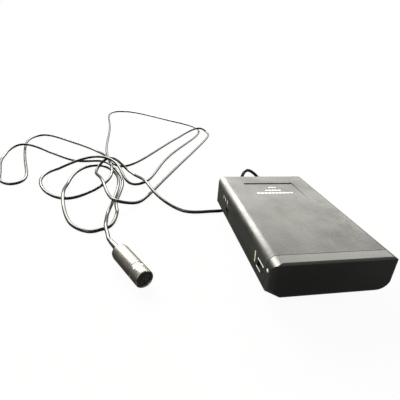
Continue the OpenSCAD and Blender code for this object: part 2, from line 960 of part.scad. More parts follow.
module mic_collar() {
    color([0.25, 0.25, 0.24])
        on_cord()
            translate([0, 0, mic_front - collar_l])
                difference() {
                    union() {
                        cylinder(h = collar_step, r = mic_r - collar_dip);
                        translate([0, 0, collar_step - eps])
                            cylinder(h = collar_l - collar_step + eps, r = mic_r);
                    }
                    translate([0, 0, -1])
                        cylinder(h = collar_l + 1 - grille_in, r = mic_r - mic_wall);
                    cylinder(h = collar_l + 1, r = mic_r - mic_wall - collar_lip);
                    for (a = pin_turns)
                        rotate([0, 0, a]) translate([mic_r / 2, 0, pin_from_back])
                            rotate([0, 90, 0]) cylinder(h = mic_r, r = pin_hole_r);
                }
}

// Six pins through the collar hold the capsule
module mic_pins() {
    color([0.85, 0.85, 0.82])
        on_cord()
            for (a = pin_turns)
                rotate([0, 0, a])
                    translate([mic_r - mic_wall + fit, 0, mic_front - collar_l + pin_from_back])
                        rotate([0, 90, 0]) cylinder(h = mic_wall, r = pin_hole_r - eps);
}

module mic_grille() {
    color([0.45, 0.45, 0.43])
        on_cord()
            translate([0, 0, mic_front - grille_in - grille_t])
                difference() {
                    cylinder(h = grille_t, r = mic_r - mic_wall - fit);
                    for (x = [-1, 0, 1])
                        for (y = [-1, 0, 1])
                            translate([x * 1.6, y * 1.6, -1]) cylinder(h = 3, r = 0.45, $fn = 16);
                }
}

module mic_foam() {
    color([0.12, 0.12, 0.12])
        on_cord()
            translate([0, 0, mic_front - grille_in - grille_t - foam_l])
                cylinder(h = foam_l, r = mic_r - mic_wall - fit);
}

module mic_capsule() {
    color([0.7, 0.68, 0.55])
        on_cord()
            translate([0, 0, mic_front - grille_in - grille_t - foam_l - capsule_l])
                cylinder(h = capsule_l, r = mic_r - mic_wall - fit);
}

front_shell();
back_cover();
case_screws();
battery_cap();
cap_foam();
battery_tray();
battery();
battery_snaps();
battery_contacts();
power_leads();
switch_bezel();
switch_body();
switch_slider();
side_jack();
main_board();
rf_shield();
crystal();
tuning_cans();
tuning_cores();
level_trimmers();
electrolytics();
integrated_circuits();
resistors();
disc_capacitors();
clip_bracket();
clip_screws();
clip_pin();
clip_spring();
belt_clip();
cord_boot();
cord_leads();
mic_cord();
mic_relief();
mic_barrel();
mic_collar();
mic_pins();
mic_grille();
mic_foam();
mic_capsule();
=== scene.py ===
"""The looks of a wireless bodypack transmitter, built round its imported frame.

Lengths are in metres in the frame's own axes: X across the case, Y from the battery cap to the cord
end, and Z up out of the front face. MM turns a size in millimetres into metres.
"""

import logging
import math
from dataclasses import dataclass, field
from enum import Enum
from typing import Any, Callable, Iterable, Sequence, Union

import bpy
from mathutils import Matrix, Vector


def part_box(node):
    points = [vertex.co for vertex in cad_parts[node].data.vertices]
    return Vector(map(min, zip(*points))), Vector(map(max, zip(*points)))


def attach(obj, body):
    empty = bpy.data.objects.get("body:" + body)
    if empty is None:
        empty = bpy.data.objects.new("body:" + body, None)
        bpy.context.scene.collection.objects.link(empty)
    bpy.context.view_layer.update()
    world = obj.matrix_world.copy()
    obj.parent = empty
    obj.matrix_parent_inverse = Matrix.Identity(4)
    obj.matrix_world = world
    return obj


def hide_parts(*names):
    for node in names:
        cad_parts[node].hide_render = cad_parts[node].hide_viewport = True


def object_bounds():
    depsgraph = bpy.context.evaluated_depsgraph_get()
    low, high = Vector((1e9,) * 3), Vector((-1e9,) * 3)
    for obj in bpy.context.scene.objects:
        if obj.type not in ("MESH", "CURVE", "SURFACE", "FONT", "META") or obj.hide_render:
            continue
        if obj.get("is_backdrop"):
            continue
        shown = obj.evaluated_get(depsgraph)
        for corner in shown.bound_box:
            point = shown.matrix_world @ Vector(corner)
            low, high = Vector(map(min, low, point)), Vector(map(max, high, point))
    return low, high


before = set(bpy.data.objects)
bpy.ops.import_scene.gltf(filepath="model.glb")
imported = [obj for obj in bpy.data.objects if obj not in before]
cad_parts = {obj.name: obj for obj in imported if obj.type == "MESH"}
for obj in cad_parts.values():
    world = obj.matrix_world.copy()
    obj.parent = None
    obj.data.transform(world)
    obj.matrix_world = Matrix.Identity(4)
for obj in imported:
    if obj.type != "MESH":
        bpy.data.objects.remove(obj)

log = logging.getLogger("bodypack")

MM = 0.001
FACTORY_OBJECTS = ("Cube", "Camera", "Light")

# Red, green and blue; what each coordinate is multiplied by; a point of an outline; the middle,
# length, height and tilt of a printed bar, also of a painted highlight bar, in millimetres and degrees; and
# points with faces
Colour = tuple[float, float, float]
Stretch = tuple[float, float, float]
Point2 = tuple[float, float]
Mark = tuple[float, float, float, float, float]
Shape = tuple[list[Vector], list[list[int]]]

# The Mix node's sockets for colours, which share their names with its sockets for numbers
MIX_FACTOR, MIX_FIRST, MIX_SECOND, MIX_RESULT = 0, 6, 7, 2


# ------------------------------------------------------------------ shader expressions


class Signal:
    """A shader socket that can stand in a Python expression. Each operator adds one Math node."""

    def __init__(self, shader: "Shader", socket: bpy.types.NodeSocket) -> None:
        """Wraps an output socket of one of a shader's nodes."""
        self.shader = shader
        self.socket = socket

    def _math(self, operation: str, first: "Term", second: "Term" = 0.0) -> "Signal":
        """Adds one Math node that works on two terms."""
        return self.shader.add("ShaderNodeMath", {"operation": operation}, {0: first, 1: second})

    def __add__(self, other: "Term") -> "Signal":
        """Gives self + other."""
        return self._math("ADD", self, other)

    def __radd__(self, other: "Term") -> "Signal":
        """Gives other + self."""
        return self._math("ADD", other, self)

    def __sub__(self, other: "Term") -> "Signal":
        """Gives self - other."""
        return self._math("SUBTRACT", self, other)

    def __rsub__(self, other: "Term") -> "Signal":
        """Gives other - self."""
        return self._math("SUBTRACT", other, self)

    def __mul__(self, other: "Term") -> "Signal":
        """Gives self * other."""
        return self._math("MULTIPLY", self, other)

    def __rmul__(self, other: "Term") -> "Signal":
        """Gives other * self."""
        return self._math("MULTIPLY", other, self)

    def above(self, level: float) -> "Signal":
        """Gives 1 where the signal is above a level and 0 elsewhere."""
        return self._math("GREATER_THAN", self, level)

    def to_and_fro(self, width: float) -> "Signal":
        """Runs from 0 up to a width and back again, over and over."""
        return self._math("PINGPONG", self, width)

    def ease(self, low: float, high: float) -> "Signal":
        """Runs from 0 to 1 while the signal goes from low to high, and stays there outside.

        Args:
            low: The value that becomes 0.
            high: The value that becomes 1.

        Returns:
            The eased signal.
        """
        return self.shader.add(
            "ShaderNodeMapRange", {"clamp": True}, {"Value": self, "From Min": low, "From Max": high}
        )


Term = Union[Signal, float]
Tint = Union[Signal, Colour]


class Shader:
    """The node tree of one material or of the world."""

    def __init__(self, tree: bpy.types.NodeTree) -> None:
        """Empties a tree, so that it is built from nothing."""
        self.tree = tree
        tree.nodes.clear()

    def add(
        self,
        kind: str,
        settings: dict[str, Any] | None = None,
        inputs: dict[int | str, Any] | None = None,
        output: int | str = 0,
    ) -> Signal:
        """Adds one node.

        Args:
            kind: The node's type.
            settings: Its own properties, set first. "stops" gives a colour ramp's stops.
            inputs: The value or the signal of each socket, by its index or its name.
            output: The output to hand back.

        Returns:
            That output.
        """
        node = self.tree.nodes.new(kind)
        for key, value in (settings or {}).items():
            if key == "stops":
                self._set_stops(node.color_ramp, value)
            else:
                setattr(node, key, value)
        for key, value in (inputs or {}).items():
            self._feed(node.inputs[key], value)
        return Signal(self, node.outputs[output] if node.outputs else None)

    @staticmethod
    def _set_stops(ramp: bpy.types.ColorRamp, stops: Sequence[tuple[float, Colour]]) -> None:
        """Gives a colour ramp its stops, with no blending between them.

        Args:
            ramp: The ramp.
            stops: The place and the colour of each stop, in order.
        """
        ramp.interpolation = "CONSTANT"
        while len(ramp.elements) < len(stops):
            ramp.elements.new(1.0)
        for element, (place, colour) in zip(ramp.elements, stops):
            element.position = place
            element.color = (*colour, 1.0)

    def _feed(self, socket: bpy.types.NodeSocket, value: Any) -> None:
        """Links a signal to a socket, or sets the socket's own value.

        Args:
            socket: The socket.
            value: The signal or the value.
        """
        if isinstance(value, Signal):
            self.tree.links.new(value.socket, socket)
        elif socket.type == "RGBA":
            socket.default_value = (*value, 1.0)
        else:
            socket.default_value = value

    def place(self) -> Signal:
        """Gives the point being shaded, in the piece's own axes."""
        return self.add("ShaderNodeTexCoord", output="Object")

    def stretched(self, x: float, y: float, z: float) -> Signal:
        """Gives the point with each of its coordinates multiplied by a number."""
        return self.add(
            "ShaderNodeVectorMath", {"operation": "MULTIPLY"}, {0: self.place(), 1: (x, y, z)}
        )

    def along(self, axis: int) -> Signal:
        """Gives one coordinate of the point: 0 for X, 1 for Y and 2 for Z."""
        return self.add("ShaderNodeSeparateXYZ", None, {0: self.place()}, axis)

    def distance(self) -> Signal:
        """Gives how far the point is from the piece's origin."""
        return self.add("ShaderNodeVectorMath", {"operation": "LENGTH"}, {0: self.place()}, "Value")

    def seen_by(self, *kinds: str) -> Signal:
        """Gives 1 where the ray is of one of some kinds, such as Camera or Glossy."""
        rays = [self.add("ShaderNodeLightPath", output=f"Is {kind} Ray") for kind in kinds]
        return sum(rays[1:], rays[0])

    def facing(self, axis: int) -> Signal:
        """Gives one coordinate of the surface's own normal."""
        normal = self.add("ShaderNodeNewGeometry", output="Normal")
        return self.add("ShaderNodeSeparateXYZ", None, {0: normal}, axis)

    def noise(self, at: Signal, grain: float, detail: float = 3.0, roughness: float = 0.5) -> Signal:
        """Gives soft noise between 0 and 1.

        Args:
            at: Where it is read.
            grain: The size of its largest lumps, in metres.
            detail: How many finer layers are added.
            roughness: How strong the finer layers are.

        Returns:
            The noise.
        """
        return self.add(
            "ShaderNodeTexNoise",
            None,
            {"Vector": at, "Scale": 1.0 / grain, "Detail": detail, "Roughness": roughness},
        )

    def cells(self, at: Signal, grain: float) -> Signal:
        """Gives the distance to the nearest of scattered points, for pits and cells."""
        return self.add("ShaderNodeTexVoronoi", None, {"Vector": at, "Scale": 1.0 / grain})

    def mix(self, first: Tint, second: Tint, factor: Term) -> Signal:
        """Blends two colours by a factor."""
        inputs = {MIX_FACTOR: factor, MIX_FIRST: first, MIX_SECOND: second}
        return self.add("ShaderNodeMix", {"data_type": "RGBA"}, inputs, MIX_RESULT)

    def bump(self, height: Signal, depth: float) -> Signal:
        """Turns a height between 0 and 1 into a normal.

        Args:
            height: The height.
            depth: What a height of 1 measures, in metres.

        Returns:
            The normal.
        """
        return self.add("ShaderNodeBump", None, {"Distance": depth, "Height": height})

    def surface(self, **sockets: Any) -> None:
        """Ends the tree in a Principled surface.

        Args:
            sockets: Values or signals by socket name, with _ for each space.
        """
        inputs = {name.replace("_", " "): value for name, value in sockets.items()}
        shade = self.add("ShaderNodeBsdfPrincipled", None, inputs)
        self.add("ShaderNodeOutputMaterial", None, {"Surface": shade})


# ------------------------------------------------------------------ finishes


@dataclass(frozen=True)
class Finish:
    """A named surface finish. Each kind of finish says how its shader is built.

    Attributes:
        name: Its name.
        colour: Its main colour.
    """

    name: str
    colour: Colour

    def material(self) -> bpy.types.Material:
        """Gives the finish's material, and makes it the first time.

        Returns:
            The material. Its name differs from the frame's own plain materials.
        """
        name = f"look_{self.name}"
        if name in bpy.data.materials:
            return bpy.data.materials[name]
        material = bpy.data.materials.new(name)
        material.use_nodes = True
        self.build(Shader(material.node_tree))
        return material

    def build(self, shader: Shader) -> None:
        """Builds the shader of this kind of finish."""
        raise NotImplementedError


@dataclass(frozen=True)
class MouldedPlastic(Finish):
    """Plastic from a spark-eroded mould, with a fine grain, handling marks and a little dust.

    Attributes:
        roughness: How rough it is where it is clean.
        grain: The size of the grain's lumps.
        depth: How deep the grain is.
        smears: How much rougher it is where hands have been.
        dust: How much paler it is where dust lies.
        specular: How strongly it mirrors.
        patch: The size of the handled patches.
        streak: The width of the wiped streaks, which run along Y.
    """

    roughness: float = 0.42
    grain: float = 0.55 * MM
    depth: float = 0.012 * MM
    smears: float = 0.05
    dust: float = 0.02
    specular: float = 0.5
    patch: float = 26 * MM
    streak: float = 5 * MM

    def build(self, shader: Shader) -> None:
        """Builds grain as bump, and smears and dust as roughness and colour.

        Args:
            shader: The material's shader.
        """
        at = shader.place()
        grain = shader.noise(at, self.grain, 4.0, 0.6)
        patches = shader.noise(at, self.patch, 5.0, 0.62)
        wiped = shader.noise(shader.stretched(1.0, 0.18, 1.0), self.streak, 4.0, 0.7)
        handled = patches.ease(0.42, 0.68)
        streaks = wiped.ease(0.55, 0.78)
        pale = tuple(part + self.dust for part in self.colour)
        tint = shader.mix(self.colour, pale, handled * 0.6 + streaks * 0.4 + grain * 0.3)
        rough = self.roughness + handled * self.smears - streaks * (0.5 * self.smears)
        rough = rough + (grain - 0.5) * 0.12
        shader.surface(
            Base_Color=tint,
            Roughness=rough,
            Specular_IOR_Level=self.specular,
            Normal=shader.bump(grain, self.depth),
        )


@dataclass(frozen=True)
class Metal(Finish):
    """Plated or bare metal with fine scratches along one axis and dull patches.

    Attributes:
        roughness: How rough it is.
        lay: What each coordinate is multiplied by. The scratches run along the smallest.
        dull: How much of the colour is left in the dull patches.
        scratch: The width of the scratches.
        scratch_depth: How deep they are.
        patch: The size of the dull patches.
    """

    roughness: float = 0.3
    lay: Stretch = (1.0, 1.0, 0.06)
    dull: float = 0.5
    scratch: float = 0.22 * MM
    scratch_depth: float = 0.004 * MM
    patch: float = 3.5 * MM

    def build(self, shader: Shader) -> None:
        """Builds scratches as bump and roughness, and dull patches as colour.

        Args:
            shader: The material's shader.
        """
        scratch = shader.noise(shader.stretched(*self.lay), self.scratch, 3.0, 0.6)
        patch = shader.noise(shader.place(), self.patch, 4.0, 0.6).ease(0.42, 0.72)
        tarnish = tuple(part * self.dull for part in self.colour)
        shader.surface(
            Base_Color=shader.mix(self.colour, tarnish, patch * 0.7),
            Metallic=1.0,
            Roughness=self.roughness + patch * 0.16 + (scratch - 0.5) * 0.2,
            Normal=shader.bump(scratch, self.scratch_depth),
        )


@dataclass(frozen=True)
class PaintedMetal(Finish):
    """Satin paint or anodising over metal, with a soft unevenness and small bright rubs.

    Attributes:
        bare: The metal's colour.
        roughness: How rough the paint is.
        worn: How much of the metal shows in the rubs.
        coat: How much clear lacquer lies over it.
        coat_roughness: How rough that lacquer is.
        peel: The size of the paint's ripples.
        peel_depth: How deep they are.
        patch: The size of its uneven patches.
        speck: The size of the rubs.
    """

    bare: Colour = (0.6, 0.6, 0.58)
    roughness: float = 0.32
    worn: float = 0.5
    coat: float = 0.0
    coat_roughness: float = 0.25
    peel: float = 0.7 * MM
    peel_depth: float = 0.006 * MM
    patch: float = 6 * MM
    speck: float = 1.1 * MM

    def build(self, shader: Shader) -> None:
        """Builds paint with bare metal where it has rubbed through.

        Args:
            shader: The material's shader.
        """
        at = shader.place()
        orange_peel = shader.noise(at, self.peel, 3.0, 0.55)
        soft = shader.noise(at, self.patch, 4.0, 0.6)
        specks = shader.noise(at, self.speck, 5.0, 0.75).ease(0.74, 0.8) * self.worn
        pale = tuple(part * 1.6 + 0.01 for part in self.colour)
        tint = shader.mix(shader.mix(self.colour, pale, soft.ease(0.4, 0.7)), self.bare, specks)
        shader.surface(
            Base_Color=tint,
            Metallic=specks,
            Roughness=self.roughness + (soft - 0.5) * 0.2,
            Coat_Weight=self.coat,
            Coat_Roughness=self.coat_roughness,
            Normal=shader.bump(orange_peel, self.peel_depth),
        )


@dataclass(frozen=True)
class SoftVinyl(Finish):
    """Extruded vinyl or moulded rubber: a satin skin with a faint waviness and lint.

    Attributes:
        roughness: How rough it is.
        lint: How much paler it is where lint lies.
        specular: How strongly it mirrors.
        skin: The size of the skin's unevenness.
        skin_depth: How deep that is.
        wave: The length of its waves.
        speck: The size of the lint.
    """

    roughness: float = 0.36
    lint: float = 0.02
    specular: float = 0.5
    skin: float = 0.9 * MM
    skin_depth: float = 0.003 * MM
    wave: float = 14 * MM
    speck: float = 0.8 * MM

    def build(self, shader: Shader) -> None:
        """Builds a wavy satin skin with a few specks of lint.

        Args:
            shader: The material's shader.
        """
        at = shader.place()
        skin = shader.noise(at, self.skin, 3.0, 0.55)
        wave = shader.noise(at, self.wave, 2.0, 0.5)
        lint = shader.noise(at, self.speck, 4.0, 0.8).ease(0.78, 0.84)
        pale = tuple(part + self.lint for part in self.colour)
        shader.surface(
            Base_Color=shader.mix(self.colour, pale, lint + wave.ease(0.5, 0.8) * 0.3),
            Roughness=self.roughness + (wave - 0.5) * 0.12 + lint * 0.2,
            Specular_IOR_Level=self.specular,
            Normal=shader.bump(skin, self.skin_depth),
        )


@dataclass(frozen=True)
class Foam(Finish):
    """Open-cell foam, with painted shade in the pits of its cells.

    Attributes:
        cell: The size of its cells.
        depth: How deep they are.
    """

    cell: float = 0.45 * MM
    depth: float = 0.12 * MM

    def build(self, shader: Shader) -> None:
        """Builds cells that are deeper in their middles, with painted shade darkening those middles.

        Args:
            shader: The material's shader.
        """
        cell = shader.cells(shader.place(), self.cell)
        # Painted shade: the colour darkens towards each cell's middle, where its pit is deepest.
        pit_shade = tuple(part * 0.35 for part in self.colour)
        shader.surface(
            Base_Color=shader.mix(pit_shade, self.colour, cell.ease(0.1, 0.6)),
            Roughness=0.95,
            Specular_IOR_Level=0.2,
            Normal=shader.bump(cell, self.depth),
        )


@dataclass(frozen=True)
class CircuitBoard(Finish):
    """Solder mask over copper tracks, with tinned pads.

    Attributes:
        track: The colour of the mask over copper.
        pad: The colour of the tinned pads.
        pitch: How far apart the tracks and the pads are.
        bend: How far the tracks run before they bend.
        weave: The size of the board's weave.
        depth: How far tracks and pads stand out.
    """

    track: Colour = (0.06, 0.26, 0.12)
    pad: Colour = (0.62, 0.62, 0.58)
    pitch: float = 2.54 * MM
    bend: float = 9 * MM
    weave: float = 0.3 * MM
    depth: float = 0.03 * MM

    def build(self, shader: Shader) -> None:
        """Builds tracks from bent stripes, and pads from scattered dots.

        Args:
            shader: The material's shader.
        """
        bend = shader.noise(shader.place(), self.bend, 1.0, 0.4)
        lanes = shader.along(0) * (1.0 / self.pitch) + bend * 3.0
        tracks = lanes.to_and_fro(0.5).ease(0.26, 0.3)
        pads = 1.0 - shader.cells(shader.place(), self.pitch).ease(0.12, 0.15)
        weave = shader.noise(shader.stretched(1.0, 1.0, 0.2), self.weave, 2.0, 0.5)
        tint = shader.mix(shader.mix(self.colour, self.track, tracks), self.pad, pads)
        shader.surface(
            Base_Color=tint,
            Metallic=pads * 0.9,
            Roughness=0.34 + weave * 0.12 - pads * 0.08,
            Normal=shader.bump(tracks * 0.6 + pads * 0.4 + weave * 0.1, self.depth),
        )


class Way(Enum):
    """What the stripes of a striped finish run across."""

    X = 0
    Y = 1
    Z = 2
    UPWARD = 3


@dataclass(frozen=True)
class Striped(Finish):
    """A finish that changes in steps along an axis, or on what faces up.

    Attributes:
        way: What the steps run across.
        low: Where the first step starts.
        high: Where the last step ends.
        stops: The share of the way at which each step starts, and its colour.
        shiny_from: The share of the way from which it is metal.
        roughness: How rough it is.
        mottle: The size of its unevenness.
        mottle_depth: How deep that is.
        worn: The size of its worn patches.
    """

    way: Way = Way.X
    low: float = 0.0
    high: float = 1.0
    stops: tuple[tuple[float, Colour], ...] = ()
    shiny_from: float = 2.0
    roughness: float = 0.35
    mottle: float = 0.8 * MM
    mottle_depth: float = 0.006 * MM
    worn: float = 5 * MM

    def build(self, shader: Shader) -> None:
        """Builds the steps with a ramp, and makes the steps beyond shiny_from metal.

        Args:
            shader: The material's shader.
        """
        if self.way is Way.UPWARD:
            place = shader.facing(Way.Z.value)
        else:
            place = shader.along(self.way.value)
        share = place.ease(self.low, self.high)
        stripes = shader.add("ShaderNodeValToRGB", {"stops": self.stops}, {0: share})
        rough = shader.noise(shader.place(), self.mottle, 4.0, 0.6)
        worn = shader.noise(shader.place(), self.worn, 3.0, 0.6).ease(0.5, 0.8)
        shader.surface(
            Base_Color=shader.mix(stripes, self.colour, worn * 0.25),
            Metallic=share.above(self.shiny_from),
            Roughness=self.roughness + (rough - 0.5) * 0.16 + worn * 0.1,
            Normal=shader.bump(rough, self.mottle_depth),
        )


@dataclass(frozen=True)
class PrintAndHighlightInk(Finish):
    """Screen-printed ink, slightly uneven and thin in places. Its white is also used for painted highlights
    on the switch's bezel.

    Attributes:
        under: The colour of what it is printed on.
        patch: The size of its thin places.
        depth: How deep they are.
    """

    under: Colour = (0.03, 0.03, 0.03)
    patch: float = 0.5 * MM
    depth: float = 0.01 * MM

    def build(self, shader: Shader) -> None:
        """Builds ink that lets a little of what is under it through.

        Args:
            shader: The material's shader.
        """
        thin = shader.noise(shader.place(), self.patch, 4.0, 0.7).ease(0.62, 0.8)
        shader.surface(
            Base_Color=shader.mix(self.colour, self.under, thin * 0.5),
            Roughness=0.42 + thin * 0.2,
            Normal=shader.bump(thin, self.depth),
        )


BLACK = (0.0085, 0.0083, 0.0056)
# The white of the printing, which also paints the highlights on the switch's bezel.
PALE_INK_AND_HIGHLIGHT = (0.9, 0.9, 0.86)
NICKEL = (0.66, 0.65, 0.61)

GRAINED_SHELL = MouldedPlastic(
    "grained_shell", BLACK, roughness=0.38, grain=1.4 * MM, depth=0.08 * MM, smears=0.14, dust=0.016,
    specular=0.75,
)
BACK_SHELL = MouldedPlastic("back_shell", BLACK, roughness=0.4, grain=0.8 * MM, specular=0.6)
SMOOTH_CAP = MouldedPlastic(
    "smooth_cap", BLACK, roughness=0.33, depth=0.006 * MM, smears=0.08, dust=0.006, specular=0.95
)
GLOSS_BLACK = MouldedPlastic("gloss_black", (0.012, 0.012, 0.012), roughness=0.28, depth=0.003 * MM)
RIBBED_SLIDER = MouldedPlastic("ribbed_slider", (0.016, 0.016, 0.016), roughness=0.4, depth=0.006 * MM)
TRAY_PLASTIC = MouldedPlastic("tray_plastic", (0.06, 0.06, 0.062), roughness=0.55)
FERRITE = MouldedPlastic("ferrite", (0.045, 0.028, 0.024), roughness=0.6, depth=0.02 * MM)
DIPPED_DISC = MouldedPlastic("dipped_disc", (0.42, 0.16, 0.04), roughness=0.3, dust=0.05)
# The white print finish, also used for the painted highlights on the switch's bezel.
PRINT_AND_HIGHLIGHT = PrintAndHighlightInk("pale_print_and_highlight", PALE_INK_AND_HIGHLIGHT)
INDEX = PrintAndHighlightInk("index_print", (0.9, 0.88, 0.66))
SCREW_STEEL = Metal("screw_steel", (0.58, 0.57, 0.54), roughness=0.34)
TINNED = Metal("tinned_steel", (0.7, 0.7, 0.68), roughness=0.3, lay=(1.0, 0.08, 1.0))
NICKELLED = Metal("nickelled", NICKEL, roughness=0.24)
BRASS = Metal("brass", (0.78, 0.6, 0.28), roughness=0.3)
CLIP_STEEL = Metal("clip_steel", (0.5, 0.5, 0.49), roughness=0.36, lay=(1.0, 0.08, 1.0))
CAPSULE_ALUMINIUM = Metal("capsule_aluminium", (0.75, 0.75, 0.73), roughness=0.32)
MESH_WIRE = Metal("mesh_wire", (0.22, 0.22, 0.2), roughness=0.38)
CLIP_PAINT = PaintedMetal("clip_paint", (0.02, 0.02, 0.02), worn=0.8)
MIC_SATIN = Metal("mic_satin", (0.2, 0.192, 0.17), roughness=0.34, lay=(1.0, 1.0, 1.0), dull=0.9)
BRIGHT_PIN = Metal("bright_pin", (0.62, 0.61, 0.57), roughness=0.3, dull=0.8)
CRYSTAL_CAN = Metal("crystal_can", (0.74, 0.73, 0.7), roughness=0.26)
BLACKENED = Metal("blackened", (0.07, 0.07, 0.065), roughness=0.3)
CORD_VINYL = SoftVinyl("cord_vinyl", (0.012, 0.0117, 0.0095), roughness=0.22, specular=0.38)
BOOT_RUBBER = SoftVinyl("boot_rubber", (0.014, 0.014, 0.013), roughness=0.28, specular=0.8)
GREY_FOAM = Foam("grey_foam", (0.2, 0.2, 0.21))
BLACK_FOAM = Foam("black_foam", (0.02, 0.02, 0.02), cell=0.3 * MM)
BOARD_MASK = CircuitBoard("board_mask", (0.02, 0.13, 0.06))
POWER_COLOURS = Striped(
    "power_leads", (0.03, 0.03, 0.03), Way.X, -1 * MM, 1 * MM,
    ((0.0, (0.015, 0.015, 0.015)), (0.5, (0.5, 0.02, 0.015))),
)
LEAD_COLOURS = Striped(
    "cord_cores", (0.3, 0.3, 0.28), Way.X, 7.2 * MM, 10.8 * MM,
    ((0.0, (0.6, 0.6, 0.55)), (0.34, (0.55, 0.03, 0.02)), (0.67, (0.02, 0.02, 0.02))),
)


# ------------------------------------------------------------------ making pieces


# Edges of the frame's solids stay sharp from the first angle and are broken from the second, in degrees
SHARP_FROM = 30.0
BROKEN_FROM = 50.0

# The most of a profile's side that one rounding takes, and a bar's corner radius by its shorter side
ROUNDED_SHARE = 0.45
BAR_CORNER = 0.4

@dataclass(frozen=True)
class Axis:
    """A straight axis with two directions square to it.

    Attributes:
        start: Its first point.
        along: Its direction.
        across: The direction from which turns are counted.
    """

    start: Vector
    along: Vector
    across: Vector

    def point(self, s: float, r: float = 0.0, turn: float = 0.0) -> Vector:
        """Gives a point by its distance along the axis, its distance from it and its turn.

        Args:
            s: The distance along the axis.
            r: The distance out from it.
            turn: The angle round it in degrees, from across.

        Returns:
            The point.
        """
        angle = math.radians(turn)
        third = self.along.cross(self.across)
        outwards = self.across * math.cos(angle) + third * math.sin(angle)
        return self.start + self.along * s + outwards * r

    def outwards(self, turn: float) -> Vector:
        """Gives the direction out from the axis at a turn in degrees."""
        return (self.point(0.0, 1.0, turn) - self.start).normalized()


class Bench:
    """Makes pieces and gives each one its finish and its body.

    Attributes:
        made: The names of the pieces made so far.
    """

    made: list[str] = []

    @classmethod
    def piece(
        cls,
        name: str,
        vertices: Sequence[Vector],
        faces: Sequence[Sequence[int]],
        finish: Finish,
        body: str,
        slot: str,
        replaced: Sequence[str] = (),
        sharp: float = 35.0,
    ) -> bpy.types.Object:
        """Makes one mesh piece.

        Args:
            name: The piece's name.
            vertices: Its points.
            faces: Its faces, as indices of points.
            finish: Its finish.
            body: The body that it rides on.
            slot: The record's material slot that it belongs to. It is not used.
            replaced: The frame's nodes that it stands for.
            sharp: The angle in degrees above which an edge stays sharp.

        Returns:
            The piece.
        """
        mesh = bpy.data.meshes.new(name)
        mesh.from_pydata([tuple(v) for v in vertices], [], [tuple(f) for f in faces])
        mesh.validate()
        mesh.shade_smooth()
        mesh.set_sharp_from_angle(angle=math.radians(sharp))
        made = bpy.data.objects.new(name, mesh)
        return cls.settle(made, finish, body, slot, replaced)

    @classmethod
    def settle(
        cls,
        made: bpy.types.Object,
        finish: Finish,
        body: str,
        slot: str,
        replaced: Sequence[str] = (),
    ) -> bpy.types.Object:
        """Puts a new object into the scene, finished and riding on its body.

        Args:
            made: The object.
            finish: Its finish.
            body: The body that it rides on.
            slot: The record's material slot that it belongs to. It is not used.
            replaced: The frame's nodes that it stands for.

        Returns:
            The object.
        """
        bpy.context.scene.collection.objects.link(made)
        made.data.materials.append(finish.material())
        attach(made, body)
        if replaced:
            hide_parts(*replaced)
        cls.made.append(made.name)
        return made

    @classmethod
    def lathe(
        cls,
        name: str,
        axis: Axis,
        profile: Sequence[Point2],
        finish: Finish,
        body: str,
        slot: str,
        replaced: Sequence[str] = (),
        sides: int = 64,
    ) -> bpy.types.Object:
        """Turns a profile round an axis.

        Args:
            name: The piece's name.
            axis: The axis.
            profile: Distances along the axis and out from it. A ring with no radius is one point.
            finish: The finish.
            body: The body that the piece rides on.
            slot: The record's material slot. It is not used.
            replaced: The frame's nodes that it stands for.
            sides: How many sides the turned shape has.

        Returns:
            The piece.
        """
        vertices, faces = turned(axis, profile, sides)
        return cls.piece(name, vertices, faces, finish, body, slot, replaced)

    @classmethod
    def tube(
        cls,
        name: str,
        points: Sequence[Vector],
        radius: float,
        finish: Finish,
        body: str,
        slot: str,
        replaced: Sequence[str] = (),
        round_steps: int = 4,
    ) -> bpy.types.Object:
        """Makes a round wire or cord as a curve through points, with closed ends.

        Args:
            name: The piece's name.
            points: The points of its centreline.
            radius: Its radius.
            finish: Its finish.
            body: The body that it rides on.
            slot: The record's material slot. It is not used.
            replaced: The frame's nodes that it stands for.
            round_steps: How finely it is rounded, as a curve's bevel resolution.

        Returns:
            The piece.
        """
        curve = bpy.data.curves.new(name, "CURVE")
        curve.dimensions = "3D"
        curve.bevel_depth = radius
        curve.bevel_resolution = round_steps
        curve.use_fill_caps = True
        curve.resolution_u = 1
        spline = curve.splines.new("POLY")
        spline.points.add(len(points) - 1)
        for knot, point in zip(spline.points, points):
            knot.co = (*point, 1.0)
        spline.use_smooth = True
        return cls.settle(bpy.data.objects.new(name, curve), finish, body, slot, replaced)

    @staticmethod
    def dress(node: str, finish: Finish, edge: float = 0.0) -> None:
        """Gives one of the frame's nodes its finish, and breaks its sharp edges.

        Args:
            node: The node.
            finish: Its finish.
            edge: The width of the broken edges, or 0 to leave them.
        """
        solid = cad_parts[node]
        for place in solid.material_slots:
            place.material = finish.material()
        solid.data.shade_smooth()
        solid.data.set_sharp_from_angle(angle=math.radians(SHARP_FROM))
        if edge:
            bevel = solid.modifiers.new("broken_edges", "BEVEL")
            bevel.width = edge
            bevel.segments = 2
            bevel.limit_method = "ANGLE"
            bevel.angle_limit = math.radians(BROKEN_FROM)
            bevel.harden_normals = True
        log.info("dressed %s", node)


def turned(axis: Axis, profile: Sequence[Point2], sides: int) -> Shape:
    """Gives the points and faces of a profile turned round an axis.

    Args:
        axis: The axis.
        profile: Distances along the axis and out from it.
        sides: How many sides the turned shape has.

    Returns:
        The points and the faces.
    """
    vertices: list[Vector] = []
    rings: list[list[int]] = []
    for s, r in profile:
        count = sides if r > 0 else 1
        rings.append([len(vertices) + k for k in range(count)])
        vertices += [axis.point(s, r, 360 * k / sides) for k in range(count)]
    faces: list[list[int]] = []
    for low, high in zip(rings, rings[1:]):
        for k in range(sides):
            a, b = low[k % len(low)], low[(k + 1) % len(low)]
            c, d = high[(k + 1) % len(high)], high[k % len(high)]
            corners = [a] + [i for i in (b, c, d) if i != a]
            faces.append(list(dict.fromkeys(corners)))
    return vertices, [face for face in faces if len(face) > 2]


